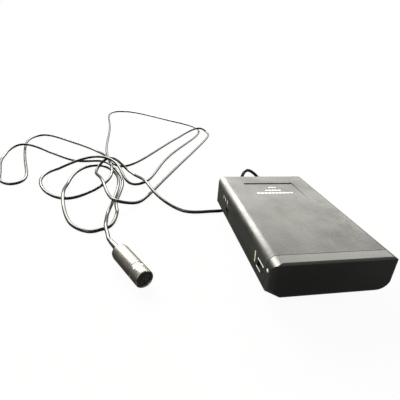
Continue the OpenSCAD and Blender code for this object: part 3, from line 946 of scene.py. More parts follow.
def round_wire(path: Sequence[Vector], radius: float, sides: int) -> Shape:
    """Gives the points and faces of a round wire along a path, with closed ends.

    Args:
        path: The wire's centreline.
        radius: Its radius.
        sides: How many sides it has.

    Returns:
        The points and the faces.
    """
    vertices: list[Vector] = []
    faces: list[list[int]] = []
    side = (path[-1] - path[0]).orthogonal().normalized()
    last = len(path) - 1
    for i, point in enumerate(path):
        heading = (path[min(i + 1, last)] - path[max(i - 1, 0)]).normalized()
        side = (side - heading * side.dot(heading)).normalized()
        ring = Axis(point, heading, side)
        vertices += [ring.point(0.0, radius, 360 * k / sides) for k in range(sides)]
    for i in range(last):
        for k in range(sides):
            a, b = i * sides + k, i * sides + (k + 1) % sides
            faces.append([a, b, b + sides, a + sides])
    faces.append(list(range(sides))[::-1])
    faces.append([last * sides + k for k in range(sides)])
    return vertices, faces


def joined(shapes: Iterable[Shape]) -> Shape:
    """Joins shapes into one.

    Args:
        shapes: The points and faces of each shape.

    Returns:
        The points and the faces of all of them.
    """
    vertices: list[Vector] = []
    faces: list[list[int]] = []
    for points, sides in shapes:
        faces += [[len(vertices) + i for i in side] for side in sides]
        vertices += points
    return vertices, faces


def stud(foot: float, top: float, radius: float, dome: Iterable[Point2]) -> list[Point2]:
    """Gives the profile of a round stud with a domed top.

    Args:
        foot: Where it starts along its axis.
        top: Where its dome starts.
        radius: Its radius.
        dome: Places along the axis, each with the share of the radius that is left there.

    Returns:
        The profile.
    """
    rounding = [(place, radius * share) for place, share in dome]
    return [(foot, 0.0), (foot, radius), (top, radius), *rounding]


def softened(profile: Sequence[Point2], radius: float, steps: int = 3) -> list[Point2]:
    """Rounds the inner corners of a profile.

    Args:
        profile: The profile's points.
        radius: How far from a corner its rounding starts.
        steps: How many points a rounding has besides its first.

    Returns:
        The rounded profile.
    """
    result = [profile[0]]
    for before, corner, after in zip(profile, profile[1:], profile[2:]):
        p, q, r = Vector(before), Vector(corner), Vector(after)
        reach = min(radius, (p - q).length * ROUNDED_SHARE, (r - q).length * ROUNDED_SHARE)
        start = q + (p - q).normalized() * reach
        end = q + (r - q).normalized() * reach
        for k in range(steps + 1):
            t = k / steps
            blend = start * (1 - t) ** 2 + q * (2 * t * (1 - t)) + end * t**2
            result.append((blend.x, blend.y))
    result.append(profile[-1])
    return result


def bar_outline(length: float, height: float, steps: int = 4) -> list[Point2]:
    """Gives the outline of a bar with rounded corners, centred on the origin.

    Args:
        length: Its length in the first direction.
        height: Its height in the second.
        steps: How many sides a corner has.

    Returns:
        The outline's points.
    """
    radius = BAR_CORNER * min(length, height)
    outline = []
    for corner in range(4):
        turn = math.pi / 2 * corner
        side_u = 1 if corner in (0, 3) else -1
        side_v = 1 if corner in (0, 1) else -1
        for k in range(steps + 1):
            angle = turn + math.pi / 2 * k / steps
            u = side_u * (length / 2 - radius) + radius * math.cos(angle)
            v = side_v * (height / 2 - radius) + radius * math.sin(angle)
            outline.append((u, v))
    return outline


def shifted(outline: Sequence[Point2], u: float, v: float, tilt: float) -> list[Point2]:
    """Turns an outline by an angle in degrees and moves it."""
    c, s = math.cos(math.radians(tilt)), math.sin(math.radians(tilt))
    return [(u + a * c - b * s, v + a * s + b * c) for a, b in outline]


def print_and_highlight_bars(
    name: str, marks: Iterable[Mark], lay: Callable[[float, float, float], Vector], ink: float, finish: Finish
) -> bpy.types.Object:
    """Lays plain bars on the case, as one piece: printing, and the painted highlights on the switch's bezel.

    Args:
        name: The piece's name.
        marks: The bars.
        lay: Turns the surface's two directions and a height above it into a point.
        ink: How far the ink stands out.
        finish: Its finish.

    Returns:
        The piece.
    """
    shapes: list[Shape] = []
    for u, v, length, height, tilt in marks:
        outline = shifted(bar_outline(length * MM, height * MM), u * MM, v * MM, tilt)
        n = len(outline)
        points = [lay(a, b, lift) for lift in (-ink, ink) for a, b in outline]
        faces = [list(range(n))[::-1], list(range(n, 2 * n))]
        for k in range(n):
            j = (k + 1) % n
            faces.append([k, j, n + j, n + k])
        shapes.append((points, faces))
    return Bench.piece(name, *joined(shapes), finish, "case", "print_white")


def on_left_side(x: float) -> Callable[[float, float, float], Vector]:
    """Gives what lays marks on the left side at x, by Y, Z and a height above it."""
    return lambda y, z, lift: Vector((x - lift, y, z))


def out_of_left_side(start: Vector) -> Axis:
    """Gives the axis that points straight out of the left side from a point."""
    return Axis(start, Vector((-1, 0, 0)), Vector((0, 1, 0)))


# ------------------------------------------------------------------ camera, floor and light


@dataclass(frozen=True)
class Softbox:
    """A rectangular lamp that faces the case.

    Attributes:
        name: Its name.
        place: Where it stands.
        width: Its width.
        height: Its height.
        power: Its power in watts.
        colour: Its colour.
    """

    name: str
    place: Vector
    width: float
    height: float
    power: float
    colour: Colour = (1.0, 0.985, 0.9)

    def build(self, target: Vector) -> None:
        """Makes the lamp and turns it to its target.

        Args:
            target: The point that it faces.
        """
        light = bpy.data.lights.new(self.name, "AREA")
        light.shape = "RECTANGLE"
        light.size = self.width
        light.size_y = self.height
        light.energy = self.power
        light.color = self.colour
        lamp = bpy.data.objects.new(self.name, light)
        lamp.location = self.place
        lamp.rotation_mode = "QUATERNION"
        lamp.rotation_quaternion = (target - self.place).to_track_quat("-Z", "Y")
        lamp.visible_camera = False
        bpy.context.scene.collection.objects.link(lamp)


@dataclass
class Studio:
    """The camera, the white surroundings and the lamps.

    Attributes:
        camera_place: Where the camera stands.
        camera_back: The direction from what it looks at to the camera.
        camera_right: The direction to the right in its picture.
        lens: Its focal length in millimetres.
        sensor: The width of its sensor in millimetres.
        nearest: The nearest distance that it shows.
        lit: The point that the lamps face.
        floor_size: The length of the floor's sides.
        floor_white: How pale the floor is to the camera.
        floor_grey: How pale it is to all other rays, so that it throws little light on the case.
        floor_seen: How much of the floor is plain white to the camera near the case. The rest keeps
            the shadow.
        floor_mirrored: How much of it is plain white where it is mirrored.
        shadow_reach: How far from the case the floor begins to turn all white. It is all white at
            twice as far.
        sky_mirrored: How bright the world is where it is mirrored.
        ambient: How bright it is to all other rays but the camera's, to which it is white.
        lamps: The lamps.
    """

    camera_place: Vector = field(default_factory=lambda: Vector((-92.93, -165.22, 112.97)) * MM)
    camera_back: Vector = field(default_factory=lambda: Vector((-0.19214, -0.88411, 0.42594)))
    camera_right: Vector = field(default_factory=lambda: Vector((0.9812, -0.18102, 0.06689)))
    lens: float = 29.9
    sensor: float = 36.0
    nearest: float = 0.01
    lit: Vector = field(default_factory=lambda: Vector((0.0, 0.0, 0.02)))
    floor_size: float = 8.0
    floor_white: float = 0.6
    floor_grey: float = 0.06
    floor_seen: float = 0.95
    floor_mirrored: float = 0.06
    shadow_reach: float = 0.5
    sky_mirrored: float = 0.5
    ambient: float = 0.2
    lamps: tuple[Softbox, ...] = (
        Softbox("softbox_back", Vector((0.45, 1.15, 0.62)), 1.6, 0.8, 14.5),
        Softbox("softbox_left", Vector((-0.42, 1.05, 0.74)), 1.1, 0.7, 38.0),
        Softbox("softbox_fill", Vector((-1.0, -0.6, 0.9)), 0.5, 0.5, 9.0),
    )

    def build(self) -> None:
        """Makes the camera, the floor, the world and the lamps."""
        self.camera()
        self.floor()
        self.world()
        for lamp in self.lamps:
            lamp.build(self.lit)
        bpy.context.scene.view_settings.view_transform = "Standard"

    def camera(self) -> None:
        """Makes the camera and gives it its place and direction."""
        data = bpy.data.cameras.new("camera")
        data.lens = self.lens
        data.sensor_width = self.sensor
        data.clip_start = self.nearest
        camera = bpy.data.objects.new("camera", data)
        back = self.camera_back.normalized()
        right = self.camera_right.normalized()
        turn = Matrix((right, back.cross(right), back)).transposed()
        camera.matrix_world = Matrix.Translation(self.camera_place) @ turn.to_4x4()
        bpy.context.scene.collection.objects.link(camera)
        bpy.context.scene.camera = camera

    def floor(self) -> None:
        """Makes the white floor, which keeps the object's shadow."""
        half = self.floor_size / 2
        corners = [(-half, -half, 0), (half, -half, 0), (half, half, 0), (-half, half, 0)]
        mesh = bpy.data.meshes.new("floor")
        mesh.from_pydata(corners, [], [(0, 1, 2, 3)])
        floor = bpy.data.objects.new("floor", mesh)
        bpy.context.scene.collection.objects.link(floor)
        material = bpy.data.materials.new("white_floor")
        material.use_nodes = True
        shader = Shader(material.node_tree)
        far_away = shader.distance().ease(self.shadow_reach, 2 * self.shadow_reach)
        grey = shader.add("ShaderNodeBsdfDiffuse", None, {"Color": (self.floor_grey,) * 3})
        pale = shader.add("ShaderNodeBsdfDiffuse", None, {"Color": (self.floor_white,) * 3})
        paper = shader.add("ShaderNodeMixShader", None, {0: shader.seen_by("Camera"), 1: grey, 2: pale})
        white = shader.add("ShaderNodeEmission", None, {"Color": (1.0, 1.0, 1.0)})
        seen = shader.seen_by("Camera") * (self.floor_seen + far_away * (1.0 - self.floor_seen))
        share = seen + shader.seen_by("Glossy", "Transmission") * self.floor_mirrored
        both = shader.add("ShaderNodeMixShader", None, {0: share, 1: paper, 2: white})
        shader.add("ShaderNodeOutputMaterial", None, {"Surface": both})
        mesh.materials.append(material)
        floor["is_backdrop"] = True

    def world(self) -> None:
        """Makes a world that is white to the camera and gives a plain soft light."""
        world = bpy.data.worlds.new("white_world")
        bpy.context.scene.world = world
        world.use_nodes = True
        shader = Shader(world.node_tree)
        seen = shader.seen_by("Camera") * (1.0 - self.ambient)
        mirrored = shader.seen_by("Glossy", "Transmission") * (self.sky_mirrored - self.ambient)
        level = self.ambient + seen + mirrored
        sky = shader.add("ShaderNodeBackground", None, {"Color": (1.0, 1.0, 1.0), "Strength": level})
        shader.add("ShaderNodeOutputWorld", None, {"Surface": sky})


# ------------------------------------------------------------------ cord and microphone


@dataclass
class Microphone:
    """The clip-on microphone on the end of the cord.

    Distances along it are counted from the end of the cord to the front rim, and turns in degrees
    round its axis.

    Attributes:
        start: The end of the cord.
        turn: How far the microphone's front is turned from -Y towards X, in degrees.
        radius: The radius of barrel and collar.
        wall: How thick their walls are.
        front: Where the front rim is.
        relief_end: Where the strain relief meets the barrel.
        relief_tip: The strain relief's radius at the cord.
        relief_root: Its radius at the barrel.
        relief_swell: How much thicker the strain relief is half way than at its tip.
        barrel_from: Where the barrel reaches its full radius.
        back_ring: How wide the flat ring round the strain relief is.
        shoulder: How long the steep part of the barrel's shoulder is.
        shoulder_drop: How far inside the barrel's radius the steep part ends.
        barrel_floor: How thick the barrel's floor is.
        collar_from: Where the collar starts.
        groove: How deep the groove between barrel and collar is.
        groove_to: Where its floor ends, from the collar's start.
        groove_out: Where its slope ends, from the collar's start.
        rim: How far behind the front the rim's rounding starts.
        rim_outer: How far inside the radius the rim is flat from.
        rim_inner: How far outside the wall's inner radius it is flat to.
        rim_lip: How far the lip round the mesh stands in from the wall.
        pins_at: Where the pins are.
        pin_turns: The turn of each pin.
        pin_radius: Their radius.
        pin_dome: Heights over the wall, each with the share of a pin's radius that is left there.
        crimp_turns: The turn of each crimp in the rim.
        crimp_back: How far behind the front the crimps' middles are.
        crimp_in: How far inside the radius they are.
        crimp_radius: Their radius.
        crimp_foot: Where a crimp starts, from its middle.
        crimp_top: Where its dome starts.
        crimp_dome: Places in its dome, each with the share of its radius that is left there.
        mesh_in: How far behind the front the lip ends.
        mesh_back: How far behind the lip the mesh is.
        mesh_gap: The room left between the mesh and the wall.
        mesh_pitch: How far apart the mesh's wires are.
        mesh_steps: How many points a wire has for each wire that it crosses.
        wire_radius: The radius of a wire.
    """

    start: Vector = field(default_factory=lambda: Vector((-107.2, 5.4, 5)) * MM)
    turn: float = 26.565
    radius: float = 5 * MM
    wall: float = 0.8 * MM
    front: float = 41 * MM
    relief_end: float = 10 * MM
    relief_tip: float = 1.5 * MM
    relief_root: float = 2.1 * MM
    relief_swell: float = 1.12
    barrel_from: float = 14 * MM
    back_ring: float = 0.6 * MM
    shoulder: float = 1.9 * MM
    shoulder_drop: float = 0.35 * MM
    barrel_floor: float = 2 * MM
    collar_from: float = 32 * MM
    groove: float = 0.15 * MM
    groove_to: float = 0.4 * MM
    groove_out: float = 0.6 * MM
    rim: float = 0.4 * MM
    rim_outer: float = 0.3 * MM
    rim_inner: float = 0.25 * MM
    rim_lip: float = 0.25 * MM
    pins_at: float = 34.5 * MM
    pin_turns: tuple[int, ...] = (3, 63, 123, 183, 243, 303)
    pin_radius: float = 0.74 * MM
    pin_dome: tuple[Point2, ...] = ((0.08 * MM, 0.8), (0.13 * MM, 0.4), (0.14 * MM, 0.0))
    crimp_turns: tuple[int, ...] = (57, 75, 177, 195, 297, 315)
    crimp_back: float = 0.12 * MM
    crimp_in: float = 0.35 * MM
    crimp_radius: float = 0.3 * MM
    crimp_foot: float = -0.2 * MM
    crimp_top: float = 0.1 * MM
    crimp_dome: tuple[Point2, ...] = ((0.24 * MM, 0.7), (0.3 * MM, 0.0))
    mesh_in: float = 1 * MM
    mesh_back: float = 0.3 * MM
    mesh_gap: float = 0.06 * MM
    mesh_pitch: float = 0.42 * MM
    mesh_steps: int = 8
    wire_radius: float = 0.085 * MM

    def axis(self) -> Axis:
        """Gives the microphone's axis.

        Returns:
            The axis, pointing out of its front.
        """
        angle = math.radians(self.turn)
        along = Vector((math.sin(angle), -math.cos(angle), 0.0))
        return Axis(self.start, along, Vector((math.cos(angle), math.sin(angle), 0.0)))

    def build(self) -> list[bpy.types.Object]:
        """Makes the microphone's pieces.

        Returns:
            Everything that sits on the cord's far end.
        """
        nodes = [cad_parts[name] for name in ("mic_foam", "mic_capsule")]
        Bench.dress("mic_foam", BLACK_FOAM)
        Bench.dress("mic_capsule", CAPSULE_ALUMINIUM, 0.1 * MM)
        return [self.relief(), self.barrel(), self.collar(), self.pins(), self.crimps(), self.mesh(), *nodes]

    def relief(self) -> bpy.types.Object:
        """Makes the tapered strain relief.

        Returns:
            The piece.
        """
        profile = [
            (0.0, 0.0),
            (0.0, self.relief_tip),
            (self.relief_end * 0.5, self.relief_tip * self.relief_swell),
            (self.relief_end, self.relief_root),
            (self.relief_end, 0.0),
        ]
        return Bench.lathe(
            "relief_sleeve", self.axis(), softened(profile, 0.15 * MM), BOOT_RUBBER, "case",
            "boot_rubber", ("mic_relief",), 40,
        )

    def barrel(self) -> bpy.types.Object:
        """Makes the hollow barrel with its rounded shoulder.

        Returns:
            The piece.
        """
        r, inner = self.radius, self.radius - self.wall
        floor = self.barrel_from + self.barrel_floor
        profile = [
            (self.relief_end, 0.0),
            (self.relief_end, self.relief_root + self.back_ring),
            (self.relief_end + self.shoulder, r - self.shoulder_drop),
            (self.barrel_from, r),
            (self.collar_from, r),
            (self.collar_from, inner),
            (floor, inner),
            (floor, 0.0),
        ]
        return Bench.lathe(
            "barrel_sleeve", self.axis(), softened(profile, 0.6 * MM, 5), MIC_SATIN, "case",
            "mic_metal", ("mic_barrel",), 96,
        )

    def collar(self) -> bpy.types.Object:
        """Makes the front collar, with its groove behind and its rounded rim.

        Returns:
            The piece.
        """
        r, inner = self.radius, self.radius - self.wall
        lip = inner - self.rim_lip
        profile = [
            (self.collar_from, inner),
            (self.collar_from, r - self.groove),
            (self.collar_from + self.groove_to, r - self.groove),
            (self.collar_from + self.groove_out, r),
            (self.front - self.rim, r),
            (self.front, r - self.rim_outer),
            (self.front, inner + self.rim_inner),
            (self.front - self.rim, lip),
            (self.front - self.mesh_in, lip),
            (self.front - self.mesh_in, inner),
            (self.collar_from, inner),
        ]
        return Bench.lathe(
            "front_collar", self.axis(), softened(profile, 0.14 * MM), MIC_SATIN, "case",
            "mic_metal", ("mic_collar",), 96,
        )

    def pin(self, turn: float) -> Shape:
        """Gives one domed pin of the collar.

        Args:
            turn: Where it is round the axis.

        Returns:
            Its points and faces.
        """
        axis = self.axis()
        base = axis.point(self.pins_at, self.radius - self.wall / 2, turn)
        rise = self.wall / 2
        dome = [(rise + height, share) for height, share in self.pin_dome]
        profile = stud(0.0, rise, self.pin_radius, dome)
        return turned(Axis(base, axis.outwards(turn), axis.along), profile, 20)

    def pins(self) -> bpy.types.Object:
        """Makes the six domed pins round the collar."""
        pins = joined(self.pin(turn) for turn in self.pin_turns)
        return Bench.piece("collar_pins", *pins, BRIGHT_PIN, "case", "screw_steel", ("mic_pins",))

    def crimp(self, turn: float) -> Shape:
        """Gives one of the crimps in the rim.

        Args:
            turn: Where it is round the axis.

        Returns:
            Its points and faces.
        """
        axis = self.axis()
        middle = axis.point(self.front - self.crimp_back, self.radius - self.crimp_in, turn)
        out = axis.outwards(turn)
        bead = Axis(middle, axis.along.lerp(out, 0.5).normalized(), axis.along.cross(out))
        return turned(bead, stud(self.crimp_foot, self.crimp_top, self.crimp_radius, self.crimp_dome), 14)

    def crimps(self) -> bpy.types.Object:
        """Makes the small bright crimps in the rim that hold the mesh."""
        crimps = joined(self.crimp(turn) for turn in self.crimp_turns)
        return Bench.piece("rim_crimps", *crimps, BRIGHT_PIN, "case", "screw_steel")

    def mesh_wire(self, run: Vector, side: Vector, lane: int, phase: int) -> Shape:
        """Gives one wire of the mesh, which goes over and under those that it crosses.

        Args:
            run: The direction in which it runs.
            side: The direction in which the lanes are counted.
            lane: Its lane, from 0 in the middle.
            phase: 1 for the wires that go under where the others go over, else 0.

        Returns:
            Its points and faces.
        """
        middle = self.front - self.mesh_in - self.mesh_back
        reach = self.radius - self.wall - self.mesh_gap
        offset = lane * self.mesh_pitch
        half = math.sqrt(max(reach**2 - offset**2, 0.0))
        steps = max(4, int(half / self.mesh_pitch * self.mesh_steps))
        path = []
        for k in range(steps + 1):
            t = half * (2 * k / steps - 1)
            lift = self.wire_radius * math.cos(math.pi * (t / self.mesh_pitch + lane + phase))
            path.append(self.axis().point(middle + lift) + run * t + side * offset)
        return round_wire(path, self.wire_radius, 5)

    def mesh(self) -> bpy.types.Object:
        """Makes the woven wire mesh as one piece.

        Returns:
            The piece.
        """
        across = self.axis().across
        up = self.axis().along.cross(across)
        last = int((self.radius - self.wall - self.mesh_gap) / self.mesh_pitch)
        lanes = range(-last, last + 1)
        wires = [self.mesh_wire(across, up, lane, 0) for lane in lanes]
        wires += [self.mesh_wire(up, across, lane, 1) for lane in lanes]
        return Bench.piece(
            "woven_mesh", *joined(wires), MESH_WIRE, "case", "mic_mesh", ("mic_grille",), sharp=60.0
        )


@dataclass
class Cord:
    """The microphone's cord, from the strain relief to the boot on the case.

    Attributes:
        room: The low and high corners of the box that it stays inside.
        diameter: How thick it is.
        length: How long it is along its route. It is not used.
        steps: How many points its curve has for each stretch of the route.
        tightness: From 0, where every stretch counts the same, to 1, where each counts by its length.
        sweeps: How many times the slopes are settled against each other.
        boot_x: Where across the case the boot is.
        boot_z: How high its axis is.
        boot_from: Where it leaves the case.
        boot_length: How far it stands out.
        boot_root: Its radius at the case.
        boot_tip: Its radius at its end.
        boot_neck: Its radius in the case's wall.
        flange: The radius of the flange inside the wall.
        flange_from: Where the flange starts, from where the boot leaves the case.
        flange_to: Where it ends.
        ribs: How many lengths the grooves divide the boot into.
        groove_depth: How deep the grooves are.
        groove_edges: Where a groove starts, is deep from, is deep to and ends, from its middle.
        route: The points that it goes through in millimetres, from the microphone to the boot.
    """

    room: tuple[Vector, Vector]
    diameter: float = 2.4 * MM
    length: float = 2.674
    steps: int = 12
    tightness: float = 0.2
    sweeps: int = 40
    boot_x: float = 9 * MM
    boot_z: float = 12 * MM
    boot_from: float = 53.5 * MM
    boot_length: float = 7.5 * MM
    boot_root: float = 3.2 * MM
    boot_tip: float = 1.8 * MM
    boot_neck: float = 2.6 * MM
    flange: float = 3.1 * MM
    flange_from: float = -3.3 * MM
    flange_to: float = -2.1 * MM
    ribs: int = 5
    groove_depth: float = 0.55 * MM
    groove_edges: tuple[float, ...] = (-0.45 * MM, -0.35 * MM, 0.25 * MM, 0.35 * MM)
    route: tuple[tuple[float, float, float], ...] = (
        (-107.2, 5.4, 5), (-108.5, 8, 5), (-109.6, 14.1, 5), (-111.2, 22.1, 4.8), (-111.7, 31.4, 3.9),
        (-111.7, 49.3, 1.2), (-108.6, 63.2, 3.9), (-106, 97, 4.5), (-113, 133, 1.2), (-127, 147, 1.2),
        (-142, 134, 1.2), (-147, 103, 1.2), (-145, 71, 5), (-135, 36, 1.2), (-121.3, 24, 1.2),
        (-114.9, 26.1, 1.2), (-109.7, 29.5, 1.2), (-106.4, 40, 1.2), (-105.7, 53.6, 1.2), (-106.7, 66.8, 1.2),
        (-103, 103, 1.2), (-111, 138, 1.2), (-125, 160, 1.2), (-147, 160, 1.2), (-178, 187, 1.2),
        (-208, 201, 5), (-217, 171, 1.2), (-207, 131, 1.2), (-200, 110, 1.2), (-190, 103, 1.2),
        (-183, 112, 1.2), (-187, 135, 1.2), (-196, 165, 1.2), (-209, 221, 1.2), (-206, 247, 1.2),
        (-194, 254, 1.2), (-165, 229, 1.2), (-132, 192, 1.2), (-117, 153, 5), (-113, 113, 4),
        (-125, 89, 1.2), (-142, 74, 1.2), (-160, 86, 1.2), (-170, 114, 1.2), (-161, 138, 1.2),
        (-133, 150, 8.5), (-109, 132, 8.5), (-98, 103, 2), (-82, 108, 1.2), (-59, 170, 1.2),
        (-17, 252, 1.2), (-4, 309, 1.2), (-41, 357, 1.2), (-96, 411, 1.2), (-128, 398, 1.2),
        (-125, 306, 1.2), (-122, 193, 1.2), (-108, 146, 1.2), (-86, 164, 1.2), (-36, 255, 1.2),
        (-3, 291, 5), (7, 284, 1.2), (1, 254, 1.2), (-34, 179, 1.2), (-62, 121, 1.2),
        (-75.6, 91.8, 1.2), (-87.6, 68.1, 1.2), (-96.2, 59.9, 3.2), (-105.4, 55.5, 7.2), (-113.1, 71.5, 6.2),
        (-121, 105, 5.5), (-127, 135, 1.2), (-115, 148, 8.5), (-98, 132, 1.2), (-85, 100, 5),
        (-76, 72, 4), (-58, 49, 1.2), (-41, 47, 1.2), (-29, 48, 1.2), (-20, 54, 1.2),
        (-12, 61, 3.5), (-10, 66, 10), (-10, 68, 16.5), (-9, 69, 22), (-5.2, 70, 24.9),
        (1.6, 70.5, 21.2), (6.6, 70, 15.5), (9, 66.5, 12), (9, 61, 12),
    )

    def slopes(self, knots: Sequence[Vector], spans: Sequence[float]) -> list[Vector]:
        """Gives the slope at each knot at which the curve's bend has no jump.

        Args:
            knots: The points that the curve goes through.
            spans: How much the curve's parameter grows from each knot to the next.

        Returns:
            One slope for each knot.
        """
        steps = [(b - a) / span for a, b, span in zip(knots, knots[1:], spans)]
        slopes = [steps[0], *steps]
        for _ in range(self.sweeps):
            for i in range(1, len(knots) - 1):
                before, after = spans[i - 1], spans[i]
                pull = 3 * (after * steps[i - 1] + before * steps[i])
                rest = after * slopes[i - 1] + before * slopes[i + 1]
                slopes[i] = (pull - rest) / (2 * (before + after))
        return slopes

    def path(self) -> list[Vector]:
        """Gives points along the smooth curve through the route, nowhere outside the room.

        Returns:
            The points, from the microphone to the boot.
        """
        knots = [Vector(point) * MM for point in self.route]
        spans = [(b - a).length ** self.tightness for a, b in zip(knots, knots[1:])]
        slopes = self.slopes(knots, spans)
        points = []
        for i, span in enumerate(spans):
            for k in range(self.steps):
                t = k / self.steps
                ahead = t * t * (3 - 2 * t)
                leave, arrive = t * (1 - t) ** 2 * span, t * t * (1 - t) * span
                point = knots[i].lerp(knots[i + 1], ahead)
                points.append(point + leave * slopes[i] - arrive * slopes[i + 1])
        points.append(knots[-1])
        reach = self.diameter / 2
        low, high = self.room
        for point in points:
            point.x = max(point.x, low.x + reach)
            point.y = min(point.y, high.y - reach)
            point.z = max(point.z, reach)
        return points

    def build(self, microphone: Microphone) -> None:
        """Args:
            microphone: What is on its far end.
        """
        cord = Bench.tube(
            "microphone_cord", self.path(), self.diameter / 2, CORD_VINYL, "case", "cord_jacket",
            ("mic_cord",),
        )
        pieces = [self.boot(), *microphone.build()]
        Bench.dress("cord_leads", LEAD_COLOURS)

    def boot(self) -> bpy.types.Object:
        """Makes the ribbed boot where the cord leaves the case.

        Returns:
            The piece.
        """
        exit_point = Vector((self.boot_x, self.boot_from, self.boot_z))
        axis = Axis(exit_point, Vector((0, 1, 0)), Vector((1, 0, 0)))
        profile: list[Point2] = [
            (self.flange_from, 0.0),
            (self.flange_from, self.flange),
            (self.flange_to, self.flange),
            (self.flange_to, self.boot_neck),
            (0.0, self.boot_neck),
            (0.0, self.boot_root),
        ]
        for k in range(1, self.ribs):
            s = self.boot_length * k / self.ribs
            r = self.boot_root + (self.boot_tip - self.boot_root) * s / self.boot_length
            sunk = r - self.groove_depth
            profile += zip([s + edge for edge in self.groove_edges], (r, sunk, sunk, r))
        profile += [(self.boot_length, self.boot_tip), (self.boot_length, 0.0)]
        return Bench.lathe(
            "ribbed_boot", axis, softened(profile, 0.12 * MM), BOOT_RUBBER, "case", "boot_rubber",
            ("cord_boot",), 48,
        )


# ------------------------------------------------------------------ case


@dataclass
class Case:
    """The two shells, their screws, the printed marks and the side jack.

    Attributes:
        edge: How wide the front shell's broken edges are.
        back_edge: How wide the back cover's are, as a multiple of the front shell's.
        recess_gap: From the case's far end to the recess.
        recess_length: How long the recess is.
        recess_depth: How deep it is at its far end. It rises to nothing at its near end.
        ink: How far the ink stands out.
        bar_share: How much of its place in a row a bar fills.
        rows: The Y, left end, right end, number of bars and height of each row, in millimetres.
        jack_marks: The marks by the jack.
        index_mark: The mark by the switch.
        jack_mouth: The middle of the jack's mouth.
        ferrule_inner: The radius of the hole in the jack's ferrule.
        ferrule_outer: Its outer radius.
        ferrule_seat: The radius of the hole that it sits in.
        ferrule_proud: How far it stands out.
        ferrule_back: How far in it starts.
    """

    edge: float = 0.18 * MM
    back_edge: float = 1.6
    recess_gap: float = 13.5 * MM
    recess_length: float = 27 * MM
    recess_depth: float = 0.5 * MM
    ink: float = 0.02 * MM
    bar_share: float = 0.84
    rows: tuple[tuple[float, float, float, int, float], ...] = (
        (23.5, -14.0, 11.6, 10, 2.0),
        (28.0, -6.7, 4.7, 5, 1.6),
        (33.0, -2.6, 3.2, 3, 1.1),
    )
    jack_marks: tuple[Mark, ...] = (
        (34.1, 19.2, 1.0, 2.4, 8.0),
        (29.9, 19.1, 1.0, 2.4, -20.0),
        (25.1, 19.2, 1.0, 2.9, -14.0),
    )
    index_mark: Mark = (-32.1, 16.45, 6.3, 1.0, 83.0)
    jack_mouth: Vector = field(default_factory=lambda: Vector((-33.0, 23.9, 14.1)) * MM)
    ferrule_inner: float = 1.82 * MM
    ferrule_outer: float = 2.75 * MM
    ferrule_seat: float = 2.35 * MM
    ferrule_proud: float = 0.22 * MM
    ferrule_back: float = -0.3 * MM

    def build(self) -> None:
        """Dresses the shells and adds what is printed on them and fitted to them."""
        Bench.dress("front_shell", GRAINED_SHELL, self.edge)
        Bench.dress("back_cover", BACK_SHELL, self.back_edge * self.edge)
        Bench.dress("case_screws", SCREW_STEEL)
        self.front_marks()
        self.side_marks()
        self.jack()

    def front_marks(self) -> None:
        """Prints three rows of plain bars on the slope of the recess."""
        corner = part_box("front_shell")[1]
        near = corner.y - self.recess_gap - self.recess_length
        marks: list[Mark] = []
        for y, left, right, count, height in self.rows:
            pitch = (right - left) / count
            length = pitch * self.bar_share
            marks += [(left + pitch * (k + 0.5), y, length, height, 0.0) for k in range(count)]

        def lay(x: float, y: float, lift: float) -> Vector:
            """Puts a point on the recess's sloping floor."""
            sunk = self.recess_depth * (y - near) / self.recess_length
            return Vector((x, y, corner.z - sunk + lift))

        print_and_highlight_bars("front_print", marks, lay, self.ink, PRINT_AND_HIGHLIGHT)

    def side_marks(self) -> None:
        """Prints the three small marks by the jack and the index mark by the switch."""
        lay = on_left_side(-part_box("front_shell")[1].x)
        print_and_highlight_bars("jack_print", self.jack_marks, lay, self.ink, PRINT_AND_HIGHLIGHT)
        print_and_highlight_bars("switch_index", (self.index_mark,), lay, self.ink, INDEX)

    def jack(self) -> None:
        """Dresses the jack and fits the plated ferrule round its mouth."""
        Bench.dress("side_jack", GLOSS_BLACK, 0.1 * MM)
        inner, outer, proud = self.ferrule_inner, self.ferrule_outer, self.ferrule_proud
        profile = [
            (self.ferrule_back, inner),
            (proud * 0.4, inner),
            (proud, inner + 0.25 * MM),
            (proud, outer - 0.2 * MM),
            (0.02 * MM, outer),
            (0.0, outer),
            (-0.01 * MM, self.ferrule_seat),
            (self.ferrule_back, inner),
        ]
        Bench.lathe(
            "jack_ferrule", out_of_left_side(self.jack_mouth), softened(profile, 0.05 * MM),
            BLACKENED, "case", "jack_plastic",
        )


@dataclass
class Switch:
    """The slide switch on the left side.

    Attributes:
        lines: The two pale bars along its bezel's long edges, painted highlights where those edges catch
            light.
        ink: How far these bars stand out.
    """

    lines: tuple[Mark, ...] = (
        (-39.8, 17.95, 8.2, 0.78, 0.0),
        (-38.0, 13.05, 5.6, 0.78, 0.0),
    )
    ink: float = 0.03 * MM

    def build(self) -> None:
        """Dresses the switch and lays two pale bars along its bezel's long edges as painted highlights."""
        Bench.dress("switch_bezel", GLOSS_BLACK, 0.12 * MM)
        Bench.dress("switch_body", TINNED)
        Bench.dress("switch_slider", RIBBED_SLIDER, 0.12 * MM)
        lay = on_left_side(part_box("switch_bezel")[0].x)
        # Painted highlights: the pale bars stand for light caught on the bezel's long edges.
        print_and_highlight_bars("switch_lines", self.lines, lay, self.ink, PRINT_AND_HIGHLIGHT)


